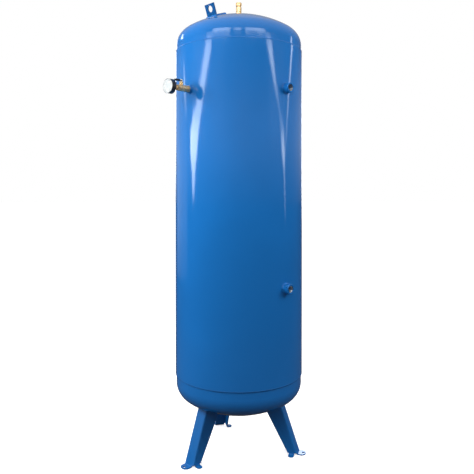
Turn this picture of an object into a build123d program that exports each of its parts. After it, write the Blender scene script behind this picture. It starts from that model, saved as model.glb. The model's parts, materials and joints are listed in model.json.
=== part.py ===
from build123d import *
from math import asin, cos, degrees, radians, sin, sqrt, tan
import os

# Vertical air receiver, 500 litres. Millimetres, +Z up, front of the tank towards -Y.
# Origin: on the floor, on the vessel's centre line.

# ---------------------------------------------------------------- driving dimensions
# Vessel
SHELL_OD = 600.0
SHELL_WALL = 4.0
SHELL_BASE_Z = 375.0
SHELL_LENGTH = 1511.0
HEAD_WALL = 4.0
HEAD_CROWN_RADIUS = 500.0
HEAD_KNUCKLE_RADIUS = 82.0
HEAD_SKIRT_INSERT = 25.0
TOP_FLANGE = 30.0
BOTTOM_FLANGE = 41.0

# Clearances between pieces that touch
JOIN_GAP = 0.1
THREAD_GAP = 0.08
RUNNING_GAP = 0.06

# Welds
GIRTH_WELD_HEIGHT = 6.0
SEAM_WELD_WIDTH = 11.0
SEAM_WELD_HEIGHT = 1.6
SEAM_WELD_AZIMUTH = 120.0
FILLET_WELD_LEG = 5.0
WELD_CROWN = 0.9
BEAD_SHOULDER = (0.55, 0.62)
LUG_WELD_RISE = 0.8
LUG_WELD_TAPER = 18.0

# Sockets: azimuths count from +X towards +Y
GAUGE_AZIMUTH = 210.0
GAUGE_DROP = 207.0
SIDE_AZIMUTH = 300.0
UPPER_SIDE_DROP = 203.0
LOWER_SIDE_RISE = 427.0
SIDE_SOCKET_OD = 46.0
SIDE_SOCKET_REACH = 28.0
SIDE_BORE_RADIUS = 15.15
SMALL_SOCKET_OD = 34.0
SMALL_SOCKET_REACH = 8.0
SMALL_BORE_RADIUS = 9.3
DRAIN_SOCKET_REACH = 14.0
SOCKET_INSERT = 10.0
SOCKET_CHAMFER = 1.5

# Lifting lugs
LUG_AZIMUTH = 210.0
LUG_RADIUS = 170.0
LUG_WIDTH = 60.0
LUG_THICKNESS = 6.0
LUG_HEIGHT = 58.0
LUG_BASE_LENGTH = 60.0
LUG_HOLE_RADIUS = 15.0
LUG_HOLE_HEIGHT = 35.0
LUG_BEND_RADIUS = 5.0

# Legs
LEG_AZIMUTHS = {"leg_front_left": 210.0, "leg_front_right": 330.0, "leg_rear": 90.0}
LEG_HANDS = {"leg_front_left": -1, "leg_front_right": 1, "leg_rear": 1}
LEG_FOOT_INSET = 16.0
LEG_SLOPE = 0.34
LEG_SHEET = 5.0
LEG_FACE_WIDTH = 56.0
LEG_WEB_FOOT = 42.0
LEG_WEB_FLARE = 0.21
LEG_FOLD_RADIUS = 7.0
FOOT_TAB_LENGTH = 33.0
FOOT_TAB_ROUND = 20.0
FOOT_BEND_RADIUS = 9.0
WEB_TAB_LENGTH = 24.0
WEB_TAB_ROUND = 12.0
FOOT_NOTCH_WIDTH = 10.0
FOOT_NOTCH_HEIGHT = 9.5
FOOT_HOLE_RADIUS = 7.0
LEG_RELIEF_RADIUS = 7.0
LEG_WELD_START = 56.0
TAB_LAP = 1.0

# Data plate at the rear
PLATE_AZIMUTH = 60.0
PLATE_DROP = 406.0
PLATE_WIDTH = 110.0
PLATE_HEIGHT = 74.0
PLATE_THICKNESS = 0.8
BRACKET_THICKNESS = 2.0
BRACKET_MARGIN = 5.0
BRACKET_STANDOFF = 14.0
RIVET_RADIUS = 1.6
RIVET_HEAD_RADIUS = 3.0
RIVET_HEAD_TAPER = 35.0
RIVET_SET = 1.35

# Gauge cock, a small quarter-turn ball valve
COCK_STANDOFF = 47.0
COCK_BODY_WALL = 4.1
COCK_END_GRIP = 4.0
COCK_HEX = 27.0
COCK_HEX_LENGTH = 10.0
COCK_PORT_RADIUS = 5.0
COCK_BALL_CLEARANCE = 1.4
COCK_NECK_RADIUS = 8.0
COCK_NECK_HEIGHT = 21.0
COCK_END_HEX = 24.0
COCK_END_LENGTH = 11.0
BALL_RADIUS = 9.0
SEAT_DEPTH = 3.6
STEM_RADIUS = 4.0
STEM_TANG_WIDTH = 3.0
STEM_TOP = 38.0
GLAND_HEX = 17.0
GLAND_HEIGHT = 6.0
PACKING_HEIGHT = 4.0
PACKING_RADIUS = 6.0
GLAND_NOSE = 2.0
LEVER_WIDTH = 11.0
LEVER_LENGTH = 34.0
LEVER_THICKNESS = 2.5
LEVER_HEIGHT = 31.5
SLEEVE_WIDTH = 14.0
SLEEVE_THICKNESS = 8.0
SLEEVE_START = 8.0
SLEEVE_END = 37.0
SLEEVE_ROUND = 0.3
LEVER_EYE_RADIUS = 7.9
LEVER_NUT_HEX = 11.0
LEVER_NUT_HEIGHT = 4.5

# Pressure gauge
GAUGE_STANDOFF = 95.0
GAUGE_OD = 63.0
GAUGE_CASE_DEPTH = 24.0
GAUGE_WALL = 2.0
WINDOW_DEPTH = 4.5
WINDOW_WALL = 1.8
GAUGE_THREAD_RADIUS = 6.5
GAUGE_SQUARE = 14.0
GAUGE_NECK_RADIUS = 5.5
DIAL_RADIUS = 27.5
DIAL_THICKNESS = 0.8
DIAL_SETBACK = 1.0
GAUGE_SWEEP = 270.0
DIAL_TO_PLATE = 1.5
POINTER_LIFT = 0.5
POINTER_HUB_RADIUS = 2.4
POINTER_TAIL_WIDTH = 3.0
POINTER_TIP_WIDTH = 0.5
BLOCK_GAP = 2.0
TUBE_WALL = 0.5
POINTER_LENGTH = 20.0
POINTER_TAIL = 7.0
POINTER_THICKNESS = 0.6
ARBOR_RADIUS = 0.9
GEAR_MODULE = 0.4
PINION_TEETH = 10
WHEEL_TEETH = 60
GEAR_WIDTH = 1.6
TOOTH_THICKNESS = 0.44
TOOTH_ADDENDUM = 0.34
TOOTH_DEDENDUM = 0.46
TOOTH_ROOT = 0.62
TOOTH_TIP = 0.22
TOOTH_SINK = 0.3
MOVEMENT_PLATE = 1.0
MOVEMENT_SPACE = 5.0
PILLAR_SPREAD = 4.2
PILLAR_MARGIN = 5.4
SECTOR_TAIL = 4.6
SECTOR_TAIL_ANGLE = 165.0
SECTOR_TAIL_WIDTH = 2.2
PILLAR_STEP = 1.8
PLATE_MARGIN = 1.7
PLATE_ROUND = 2.0
LINK_LENGTH = 8.0
LINK_WIDTH = 1.8
LINK_THICKNESS = 0.6
LINK_ANGLE = 128.0
BOURDON_RADIUS = 21.5
BOURDON_TUBE = (3.0, 7.0)
BOURDON_SWEEP = 250.0

# Safety valve on the pole of the top head
VALVE_HEX = 27.0
VALVE_HEX_HEIGHT = 12.0
VALVE_BODY_RADIUS = 13.0
VALVE_BODY_HEIGHT = 33.0
VALVE_BORE_RADIUS = 5.0
VALVE_CHAMBER_RADIUS = 10.2
VALVE_WALL_PORTS = 6
VALVE_PORT_RADIUS = 2.2
VALVE_ADJUSTER_HEIGHT = 9.0
VALVE_CAP_RADIUS = 13.5
VALVE_CAP_HEIGHT = 17.0
VALVE_CAP_GAP = 3.6
VALVE_STEM_RADIUS = 2.2
VALVE_DISC_RADIUS = 7.5
VALVE_DISC_HEIGHT = 4.0
VALVE_WASHER = 1.5
SPRING_WIRE = 1.4
SPRING_RADIUS = 5.6
SPRING_TURNS = 4.5
VALVE_DISC_RIM = 0.6
VALVE_ADJUSTER_CLEAR = 1.2
VALVE_COLLAR_HEIGHT = 1.5
VALVE_CAP_ROOF = 2.0

# Drain cock under the bottom head
DRAIN_HEX = 24.0
DRAIN_HEX_HEIGHT = 8.0
DRAIN_THREAD_RADIUS = 4.0
DRAIN_PORT_RADIUS = 2.2
DRAIN_KNOB_RADIUS = 9.0
DRAIN_KNOB_HEIGHT = 8.0
DRAIN_SEAL_HEIGHT = 2.0
DRAIN_SEAL_RADIUS = 5.0
DRAIN_TRAVEL = 2.5
DRAIN_KNURLS = 16
DRAIN_KNURL_RADIUS = 1.1
DRAIN_KNURL_OFFSET = 0.5
DRAIN_BOSS_HEIGHT = 5.0
DRAIN_CEILING_DEPTH = 2.0
DRAIN_OUTLET_RADIUS = 1.4
DRAIN_KNOB_GAP = 0.6
DRAIN_CHAMBER_SPARE = 0.5

# ---------------------------------------------------------------- derived sizes
SHELL_RADIUS = SHELL_OD / 2
SHELL_TOP_Z = SHELL_BASE_Z + SHELL_LENGTH
GAUGE_Z = SHELL_TOP_Z - GAUGE_DROP
UPPER_SIDE_Z = SHELL_TOP_Z - UPPER_SIDE_DROP
LOWER_SIDE_Z = SHELL_BASE_Z + LOWER_SIDE_RISE
PLATE_Z = SHELL_TOP_Z - PLATE_DROP
LEG_FOOT_RADIUS = SHELL_RADIUS - LEG_FOOT_INSET
HEAD_RADIUS = SHELL_RADIUS - SHELL_WALL - JOIN_GAP
CROWN_ANGLE = degrees(asin((HEAD_RADIUS - HEAD_KNUCKLE_RADIUS) / (HEAD_CROWN_RADIUS - HEAD_KNUCKLE_RADIUS)))
CROWN_DROP = (HEAD_CROWN_RADIUS - HEAD_KNUCKLE_RADIUS) * cos(radians(CROWN_ANGLE))
DISH_HEIGHT = HEAD_CROWN_RADIUS - CROWN_DROP
TOP_KNUCKLE_Z = SHELL_TOP_Z + TOP_FLANGE
BOTTOM_KNUCKLE_Z = SHELL_BASE_Z - BOTTOM_FLANGE
TOP_POLE_Z = TOP_KNUCKLE_Z + DISH_HEIGHT
BOTTOM_POLE_Z = BOTTOM_KNUCKLE_Z - DISH_HEIGHT
TOP_CROWN_Z = TOP_POLE_Z - HEAD_CROWN_RADIUS
VALVE_SEAT_Z = TOP_POLE_Z + SMALL_SOCKET_REACH + JOIN_GAP
DRAIN_SEAT_Z = BOTTOM_POLE_Z - DRAIN_SOCKET_REACH - JOIN_GAP
SOCKET_FACE = SHELL_RADIUS + SMALL_SOCKET_REACH
COCK_HEX_START = SOCKET_FACE + JOIN_GAP
COCK_AXIS_RADIUS = SHELL_RADIUS + COCK_STANDOFF
COCK_CAVITY_RADIUS = BALL_RADIUS + COCK_BALL_CLEARANCE
COCK_BODY_RADIUS = COCK_CAVITY_RADIUS + COCK_BODY_WALL
COCK_CAVITY_END = COCK_AXIS_RADIUS + BALL_RADIUS + COCK_END_GRIP
COCK_END_FACE = COCK_CAVITY_END + JOIN_GAP + COCK_END_LENGTH
GAUGE_BACK_RADIUS = SHELL_RADIUS + GAUGE_STANDOFF
GAUGE_FRONT = GAUGE_BACK_RADIUS + GAUGE_CASE_DEPTH
DIAL_FACE = GAUGE_FRONT - DIAL_SETBACK
DIAL_BACK = DIAL_FACE - DIAL_THICKNESS
PINION_PITCH = GEAR_MODULE * PINION_TEETH / 2
WHEEL_PITCH = GEAR_MODULE * WHEEL_TEETH / 2
FRONT_PLATE = DIAL_BACK - DIAL_TO_PLATE - MOVEMENT_PLATE
GEAR_PLANE = FRONT_PLATE - MOVEMENT_SPACE / 2 - GEAR_WIDTH / 2
BACK_PLATE = FRONT_PLATE - MOVEMENT_SPACE - MOVEMENT_PLATE
SECTOR_SWEEP = GAUGE_SWEEP * PINION_TEETH / WHEEL_TEETH
GEAR_DISTANCE = PINION_PITCH + WHEEL_PITCH
PILLAR_RISE = PINION_PITCH + PILLAR_STEP
PILLAR_DROP = -GEAR_DISTANCE - PILLAR_MARGIN


# ---------------------------------------------------------------- shared geometry
def radial_plane(azimuth, radius, z):
    """Plane facing out from the centre line: x tangential, y up, z outward."""
    c, s = cos(radians(azimuth)), sin(radians(azimuth))
    return Plane(origin=(radius * c, radius * s, z), x_dir=(-s, c, 0), z_dir=(c, s, 0))


def meridian_plane(azimuth, z=0.0):
    """Plane holding the centre line: x outward from it, y up."""
    c, s = cos(radians(azimuth)), sin(radians(azimuth))
    return Plane(origin=(0, 0, z), x_dir=(c, s, 0), z_dir=(s, -c, 0))


def radial_axis(azimuth, z):
    c, s = cos(radians(azimuth)), sin(radians(azimuth))
    return Axis((0, 0, z), (c, s, 0))


def turn(points, plane, axis, mode=Mode.ADD):
    """Revolve a closed outline about a centre line."""
    with BuildSketch(plane) as outline:
        with BuildLine():
            Polyline(*points, close=True)
        make_face()
    revolve(outline.sketch, axis=axis, mode=mode)


def turn_z(points, mode=Mode.ADD):
    """Turn an outline of (radius, height) points about the vessel's centre line."""
    turn(points, Plane.XZ, Axis.Z, mode)


def turn_gauge(points, mode=Mode.ADD):
    """Turn an outline of (distance from centre line, radius) points about the gauge line."""
    turn(points, meridian_plane(GAUGE_AZIMUTH, GAUGE_Z), radial_axis(GAUGE_AZIMUTH, GAUGE_Z), mode)


def ring_points(start, end, inner, outer):
    return [(start, inner), (end, inner), (end, outer), (start, outer)]


def tube_points(inner, outer, low, high):
    return [(inner, low), (outer, low), (outer, high), (inner, high)]


def disc(plane, radius, thickness, mode=Mode.ADD):
    with BuildSketch(plane) as outline:
        Circle(radius)
    extrude(outline.sketch, amount=thickness, mode=mode)


def hexagon(plane, across_flats, thickness):
    """Hexagon with the corners of both its faces turned away at 30 degrees."""
    flat = across_flats / 2
    clear = 1.3 * flat
    cut = (clear - flat) * tan(radians(30))
    axis = Axis(plane.origin, plane.z_dir)
    section = Plane(origin=plane.origin, x_dir=plane.x_dir, z_dir=plane.y_dir * -1)
    with BuildSketch(plane) as outline:
        RegularPolygon(flat, 6, major_radius=False)
    extrude(outline.sketch, amount=thickness)
    turn([(flat, 0), (clear, 0), (clear, cut)], section, axis, Mode.SUBTRACT)
    turn([(flat, thickness), (clear, thickness), (clear, thickness - cut)], section, axis, Mode.SUBTRACT)


def head_plane(pole_up, knuckle_z):
    """Meridian plane at the knuckle, y towards the pole."""
    facing = -1 if pole_up else 1
    return Plane(origin=(0, 0, knuckle_z), x_dir=(1, 0, 0), z_dir=(0, facing, 0))


def dished_face(plane, skirt, grow=0.0, wall=None):
    """Half section of a dished head; solid to the centre line when no wall is given."""
    radius = HEAD_RADIUS + grow
    knuckle = HEAD_KNUCKLE_RADIUS + grow
    crown = HEAD_CROWN_RADIUS + grow
    pole = crown - CROWN_DROP
    turn_angle = 90 - CROWN_ANGLE
    with BuildSketch(plane) as section:
        with BuildLine():
            Line((radius, -skirt), (radius, 0))
            CenterArc((HEAD_RADIUS - HEAD_KNUCKLE_RADIUS, 0), knuckle, 0, turn_angle)
            CenterArc((0, -CROWN_DROP), crown, turn_angle, CROWN_ANGLE)
            if wall is None:
                Polyline((0, pole), (0, -skirt), (radius, -skirt))
            else:
                Line((0, pole), (0, pole - wall))
                CenterArc((0, -CROWN_DROP), crown - wall, 90, -CROWN_ANGLE)
                CenterArc((HEAD_RADIUS - HEAD_KNUCKLE_RADIUS, 0), knuckle - wall, turn_angle, -turn_angle)
                Polyline((radius - wall, 0), (radius - wall, -skirt), (radius, -skirt))
        make_face()
    return section.sketch


TOP_HEAD_PLANE = head_plane(True, TOP_KNUCKLE_Z)
BOTTOM_HEAD_PLANE = head_plane(False, BOTTOM_KNUCKLE_Z)


def cut_head_envelope(plane, skirt, grow):
    """Clear away everything inside a head's outer surface."""
    revolve(dished_face(plane, skirt, grow), axis=Axis.Z, mode=Mode.SUBTRACT)


# ---------------------------------------------------------------- pressure vessel
def make_shell():
    with BuildPart() as shell:
        turn_z(tube_points(SHELL_RADIUS - SHELL_WALL, SHELL_RADIUS, SHELL_BASE_Z, SHELL_TOP_Z))
        sockets = [(GAUGE_AZIMUTH, GAUGE_Z, SMALL_SOCKET_OD), (SIDE_AZIMUTH, UPPER_SIDE_Z, SIDE_SOCKET_OD),
                   (SIDE_AZIMUTH, LOWER_SIDE_Z, SIDE_SOCKET_OD)]
        for azimuth, z, diameter in sockets:
            hole = radial_plane(azimuth, SHELL_RADIUS / 2, z)
            disc(hole, diameter / 2 + JOIN_GAP, SHELL_RADIUS, Mode.SUBTRACT)
    return shell


def make_head(plane, flange):
    skirt = flange + HEAD_SKIRT_INSERT
    with BuildPart() as head:
        revolve(dished_face(plane, skirt, wall=HEAD_WALL), axis=Axis.Z)
        turn(tube_points(0, SMALL_SOCKET_OD / 2 + JOIN_GAP, 0, 2 * DISH_HEIGHT), plane, Axis.Z, Mode.SUBTRACT)
    return head


def make_girth_weld(plane, flange):
    """Fillet bead in the corner between a head's skirt and the shell's edge."""
    inner = HEAD_RADIUS + JOIN_GAP
    foot = -flange + JOIN_GAP
    with BuildPart() as weld:
        with BuildSketch(plane):
            with BuildLine():
                Polyline((inner, foot + GIRTH_WELD_HEIGHT), (inner, foot), (SHELL_RADIUS, foot))
                SagittaArc((SHELL_RADIUS, foot), (inner, foot + GIRTH_WELD_HEIGHT), -WELD_CROWN)
            make_face()
        revolve(axis=Axis.Z)
    return weld


def make_seam_weld():
    """Raised bead of the shell's lengthwise joint."""
    face = SHELL_RADIUS + JOIN_GAP
    half_angle = degrees(SEAM_WELD_WIDTH / 2 / SHELL_RADIUS)
    base = SHELL_BASE_Z + GIRTH_WELD_HEIGHT
    with BuildPart() as weld:
        with BuildSketch(Plane.XY.offset(base)):
            with BuildLine():
                foot = CenterArc((0, 0), face, SEAM_WELD_AZIMUTH - half_angle, 2 * half_angle)
                SagittaArc(foot @ 0, foot @ 1, -SEAM_WELD_HEIGHT)
            make_face()
        extrude(amount=SHELL_LENGTH - 2 * GIRTH_WELD_HEIGHT)
    return weld


def make_shell_socket(azimuth, z, diameter, reach, bore):
    """Threaded socket set through the shell wall."""
    start = SHELL_RADIUS - SHELL_WALL - SOCKET_INSERT
    end = SHELL_RADIUS + reach
    radius = diameter / 2
    with BuildPart() as socket:
        outline = [(start, bore), (end - SOCKET_CHAMFER, bore), (end, bore + SOCKET_CHAMFER),
                   (end, radius - SOCKET_CHAMFER), (end - SOCKET_CHAMFER, radius), (start, radius)]
        turn(outline, meridian_plane(azimuth, z), radial_axis(azimuth, z))
    return socket


def make_head_socket(pole_z, direction, reach):
    """Small threaded socket on the centre line through the pole of a head."""
    start = pole_z - direction * (HEAD_WALL + SOCKET_INSERT)
    end = pole_z + direction * reach
    edge = end - direction * SOCKET_CHAMFER
    radius = SMALL_SOCKET_OD / 2
    bore = SMALL_BORE_RADIUS
    with BuildPart() as socket:
        turn_z([(bore, start), (bore, edge), (bore + SOCKET_CHAMFER, end),
                (radius - SOCKET_CHAMFER, end), (radius, edge), (radius, start)])
    return socket


def bead_points(radius, surface, direction):
    """Weld section round a socket: along its axis, then out from it."""
    inner = radius + JOIN_GAP
    leg = FILLET_WELD_LEG
    along, out = BEAD_SHOULDER
    return [(surface - direction * leg, inner), (surface + direction * leg, inner),
            (surface + direction * leg * along, inner + leg * out),
            (surface, inner + leg), (surface - direction * leg, inner + leg)]


def make_socket_welds():
    """Fillet beads round the five sockets, as separate rings."""
    with BuildPart() as welds:
        sockets = [(GAUGE_AZIMUTH, GAUGE_Z, SMALL_SOCKET_OD), (SIDE_AZIMUTH, UPPER_SIDE_Z, SIDE_SOCKET_OD),
                   (SIDE_AZIMUTH, LOWER_SIDE_Z, SIDE_SOCKET_OD)]
        for azimuth, z, diameter in sockets:
            bead = bead_points(diameter / 2, SHELL_RADIUS, 1)
            turn(bead, meridian_plane(azimuth, z), radial_axis(azimuth, z))
        turn_z([(r, z) for z, r in bead_points(SMALL_SOCKET_OD / 2, TOP_POLE_Z, 1)])
        turn_z([(r, z) for z, r in bead_points(SMALL_SOCKET_OD / 2, BOTTOM_POLE_Z, -1)])
        turn_z(tube_points(0, SHELL_RADIUS + JOIN_GAP, SHELL_BASE_Z, SHELL_TOP_Z), Mode.SUBTRACT)
        cut_head_envelope(TOP_HEAD_PLANE, TOP_FLANGE, JOIN_GAP)
        cut_head_envelope(BOTTOM_HEAD_PLANE, BOTTOM_FLANGE, JOIN_GAP)
    return welds


# ---------------------------------------------------------------- lifting lugs
def lug_plane(azimuth):
    """Meridian plane at a lug's heel: x inward along the head, y away from the head."""
    tilt = radians(90) - asin(LUG_RADIUS / HEAD_CROWN_RADIUS)
    c, s = cos(radians(azimuth)), sin(radians(azimuth))
    height = TOP_CROWN_Z + HEAD_CROWN_RADIUS * sin(tilt)
    inward = (-c * sin(tilt), -s * sin(tilt), cos(tilt))
    return Plane(origin=(LUG_RADIUS * c, LUG_RADIUS * s, height), x_dir=inward, z_dir=(-s, c, 0))


def make_lug(azimuth):
    """Strip bent to an L: the base lies on the head, the eye stands up."""
    plane = lug_plane(azimuth)
    floor = JOIN_GAP
    with BuildPart() as lug:
        with BuildSketch(plane):
            with BuildLine():
                FilletPolyline((LUG_BASE_LENGTH, floor), (0, floor), (0, LUG_HEIGHT), radius=LUG_BEND_RADIUS)
                offset(amount=LUG_THICKNESS, side=Side.RIGHT)
            make_face()
        extrude(amount=LUG_WIDTH / 2, both=True)
        eye_axis = Plane(origin=plane.from_local_coords((0, LUG_HOLE_HEIGHT, 0)),
                         x_dir=plane.z_dir, z_dir=plane.x_dir)
        with BuildSketch(eye_axis):
            Circle(LUG_HOLE_RADIUS)
        extrude(amount=LUG_BASE_LENGTH, both=True, mode=Mode.SUBTRACT)
        cut_head_envelope(TOP_HEAD_PLANE, TOP_FLANGE, JOIN_GAP)
    return lug


def make_lug_welds():
    """Bead round the base of each lug, with the base's own outline left clear."""
    length = LUG_BASE_LENGTH
    with BuildPart() as welds:
        for azimuth in (LUG_AZIMUTH, LUG_AZIMUTH + 180):
            plane = lug_plane(azimuth)
            base = Plane(origin=plane.origin, x_dir=plane.x_dir, z_dir=plane.y_dir)
            middle = (length - LUG_THICKNESS) / 2
            full = length + LUG_THICKNESS
            with BuildSketch(base.offset(-FILLET_WELD_LEG)):
                with Locations((middle, 0)):
                    Rectangle(full + 2 * FILLET_WELD_LEG, LUG_WIDTH + 2 * FILLET_WELD_LEG)
                fillet(vertices(), FILLET_WELD_LEG)
            extrude(amount=FILLET_WELD_LEG + LUG_THICKNESS * LUG_WELD_RISE, taper=LUG_WELD_TAPER)
            with BuildSketch(base.offset(-2 * FILLET_WELD_LEG)):
                with Locations((middle, 0)):
                    Rectangle(full + 2 * JOIN_GAP, LUG_WIDTH + 2 * JOIN_GAP)
            extrude(amount=4 * FILLET_WELD_LEG, mode=Mode.SUBTRACT)
        cut_head_envelope(TOP_HEAD_PLANE, TOP_FLANGE, JOIN_GAP)
    return welds


# ---------------------------------------------------------------- legs
def leg_directions(azimuth):
    """Unit directions of a leg: outward, tangential, and up along its sloping fold."""
    c, s = cos(radians(azimuth)), sin(radians(azimuth))
    outward = Vector(c, s, 0)
    along = Vector(-s, c, 0)
    rise = (Vector(0, 0, 1) - outward * LEG_SLOPE).normalized()
    return outward, along, rise


def fold_end():
    """Radius and height where the fold line meets the bottom head."""
    height = BOTTOM_POLE_Z
    for _ in range(30):
        radius = LEG_FOOT_RADIUS - LEG_SLOPE * height
        height = BOTTOM_POLE_Z + HEAD_CROWN_RADIUS - sqrt(HEAD_CROWN_RADIUS ** 2 - radius ** 2)
    return radius, height


def folded_section(azimuth, hand, height, grow):
    """Extruded L of the folded sheet, rising along the fold from the given height."""
    outward, along, rise = leg_directions(azimuth)
    origin = outward * (LEG_FOOT_RADIUS - LEG_SLOPE * height) + Vector(0, 0, height)
    near, far, wide = -grow, LEG_SHEET + grow, LEG_FACE_WIDTH + grow
    with BuildSketch(Plane(origin=origin, x_dir=along * hand, z_dir=rise * hand)) as section:
        Polygon((near, near), (wide, near), (wide, far), (far, far), (far, LEG_FOOT_RADIUS),
                (near, LEG_FOOT_RADIUS), align=None)
        fillet(vertices().sort_by_distance((near, near, 0))[0], LEG_FOLD_RADIUS + grow)
    return section.sketch


def keep_web_outline(azimuth, grow):
    """Keep only what lies outside the web's flared inner edge."""
    top = BOTTOM_KNUCKLE_Z
    foot = LEG_FOOT_RADIUS - LEG_WEB_FOOT - grow
    inner_top = foot - (LEG_SLOPE + LEG_WEB_FLARE) * top
    with BuildSketch(meridian_plane(azimuth)) as outline:
        Polygon((SHELL_OD, 0), (foot, 0), (inner_top, top), (SHELL_OD, top), align=None)
    extrude(outline.sketch, amount=2 * LEG_FACE_WIDTH, both=True, mode=Mode.INTERSECT)


def bent_strip(plane, start, corner, end, side, width):
    """Sheet bent from a floor tab into a wall; start, corner and end lie on its underside."""
    with BuildSketch(plane) as section:
        with BuildLine():
            FilletPolyline(start, corner, end, radius=FOOT_BEND_RADIUS)
            offset(amount=LEG_SHEET, side=side)
        make_face()
    extrude(section.sketch, amount=width)


def floor_tab(plane, middle, size, round_radius):
    """Flat tab on the floor with its two outer corners rounded."""
    with BuildSketch(plane) as outline:
        with Locations(middle):
            Rectangle(*size)
        fillet(vertices().group_by(Axis.X)[-1], round_radius)
    extrude(outline.sketch, amount=LEG_SHEET)


def make_leg(azimuth, hand):
    """Folded sheet leg: face, web and a foot tab bent out from each on the floor."""
    outward, along, _ = leg_directions(azimuth)
    up = Vector(0, 0, 1)
    inner_face = LEG_FOOT_RADIUS - LEG_SHEET * sqrt(1 + LEG_SLOPE ** 2)
    strip_top = 2 * FOOT_BEND_RADIUS
    face_width = LEG_FACE_WIDTH - FOOT_NOTCH_WIDTH
    web_width = LEG_WEB_FOOT - FOOT_NOTCH_WIDTH - LEG_SLOPE * strip_top
    web_start = LEG_FOOT_RADIUS - LEG_WEB_FOOT
    bend_out = 2 * FOOT_BEND_RADIUS
    relief_radius, relief_z = fold_end()
    with BuildPart() as leg:
        extrude(folded_section(azimuth, hand, 0, 0), amount=hand * SHELL_BASE_Z)
        with BuildSketch(Plane.XY.offset(-LEG_FOOT_RADIUS)):
            Circle(SHELL_OD)
        extrude(amount=LEG_FOOT_RADIUS + FOOT_NOTCH_HEIGHT, mode=Mode.SUBTRACT)
        keep_web_outline(azimuth, 0)
        face_side = Plane(origin=along * hand * LEG_FACE_WIDTH if hand < 0 else along * FOOT_NOTCH_WIDTH,
                          x_dir=outward * -1, z_dir=along)
        bent_strip(face_side, (-inner_face - bend_out, 0), (-inner_face, 0),
                   (-inner_face + LEG_SLOPE * strip_top, strip_top), Side.LEFT, face_width)
        floor_plan = Plane(origin=(0, 0, 0), x_dir=outward, z_dir=up)
        tab_start = inner_face + bend_out - TAB_LAP
        tab_end = LEG_FOOT_RADIUS + FOOT_TAB_LENGTH
        face_middle = hand * (FOOT_NOTCH_WIDTH + face_width / 2)
        floor_tab(floor_plan, ((tab_start + tab_end) / 2, face_middle),
                  (tab_end - tab_start, face_width), FOOT_TAB_ROUND)
        with BuildSketch(floor_plan):
            with Locations(((LEG_FOOT_RADIUS + FOOT_BEND_RADIUS + tab_end) / 2, face_middle)):
                Circle(FOOT_HOLE_RADIUS)
        extrude(amount=LEG_SHEET, mode=Mode.SUBTRACT)
        web_side = Plane(origin=outward * (web_start + (web_width if hand < 0 else 0)),
                         x_dir=along * hand, z_dir=outward * hand)
        bent_strip(web_side, (LEG_SHEET - bend_out, 0), (LEG_SHEET, 0), (LEG_SHEET, strip_top),
                   Side.LEFT, web_width)
        web_plan = Plane(origin=outward * (web_start + web_width / 2), x_dir=along * -hand, z_dir=up)
        web_tab_start = bend_out - LEG_SHEET - TAB_LAP
        floor_tab(web_plan, ((web_tab_start + WEB_TAB_LENGTH) / 2, 0),
                  (WEB_TAB_LENGTH - web_tab_start, web_width), WEB_TAB_ROUND)
        with BuildSketch(meridian_plane(azimuth)):
            with Locations((relief_radius - 1.5 * LEG_RELIEF_RADIUS, relief_z - LEG_RELIEF_RADIUS / 2)):
                Circle(LEG_RELIEF_RADIUS)
        extrude(amount=2 * LEG_SHEET, both=True, mode=Mode.SUBTRACT)
        cut_head_envelope(BOTTOM_HEAD_PLANE, BOTTOM_FLANGE, JOIN_GAP)
    return leg


def make_leg_weld(azimuth, hand):
    """Bead that follows the leg's section where it meets the bottom head."""
    with BuildPart() as weld:
        extrude(folded_section(azimuth, hand, LEG_WELD_START, FILLET_WELD_LEG), amount=hand * SHELL_BASE_Z)
        keep_web_outline(azimuth, FILLET_WELD_LEG)
        revolve(dished_face(BOTTOM_HEAD_PLANE, BOTTOM_FLANGE, grow=FILLET_WELD_LEG), axis=Axis.Z,
                mode=Mode.INTERSECT)
        cut_head_envelope(BOTTOM_HEAD_PLANE, BOTTOM_FLANGE, JOIN_GAP)
        extrude(folded_section(azimuth, hand, 0, JOIN_GAP), amount=hand * SHELL_BASE_Z, mode=Mode.SUBTRACT)
    return weld


# ---------------------------------------------------------------- data plate
def rivet_places():
    return GridLocations(PLATE_WIDTH - 4 * RIVET_HEAD_RADIUS, PLATE_HEIGHT - 4 * RIVET_HEAD_RADIUS, 2, 2)


def plate_face(distance=0.0):
    return radial_plane(PLATE_AZIMUTH, SHELL_RADIUS + BRACKET_STANDOFF + distance, PLATE_Z)


def make_plate_bracket():
    """Sheet bridge whose two side walls are welded to the shell."""
    width = PLATE_WIDTH + 2 * BRACKET_MARGIN
    height = PLATE_HEIGHT + 2 * BRACKET_MARGIN
    depth = BRACKET_STANDOFF + SHELL_WALL + BRACKET_THICKNESS
    with BuildPart() as bracket:
        with BuildSketch(plate_face()):
            RectangleRounded(width, height, BRACKET_MARGIN / 2)
        extrude(amount=-depth)
        with BuildSketch(plate_face(-BRACKET_THICKNESS)):
            Rectangle(width - 2 * BRACKET_THICKNESS, height + 1)
        extrude(amount=-depth, mode=Mode.SUBTRACT)
        turn_z(tube_points(0, SHELL_RADIUS + JOIN_GAP, SHELL_BASE_Z, SHELL_TOP_Z), Mode.SUBTRACT)
        with BuildSketch(plate_face()):
            with rivet_places():
                Circle(RIVET_RADIUS + JOIN_GAP)
        extrude(amount=-2 * BRACKET_THICKNESS, mode=Mode.SUBTRACT)
    return bracket


def make_data_plate():
    with BuildPart() as plate:
        with BuildSketch(plate_face(JOIN_GAP)):
            RectangleRounded(PLATE_WIDTH, PLATE_HEIGHT, RIVET_HEAD_RADIUS)
            with rivet_places():
                Circle(RIVET_RADIUS + JOIN_GAP, mode=Mode.SUBTRACT)
        extrude(amount=PLATE_THICKNESS)
    return plate


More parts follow.
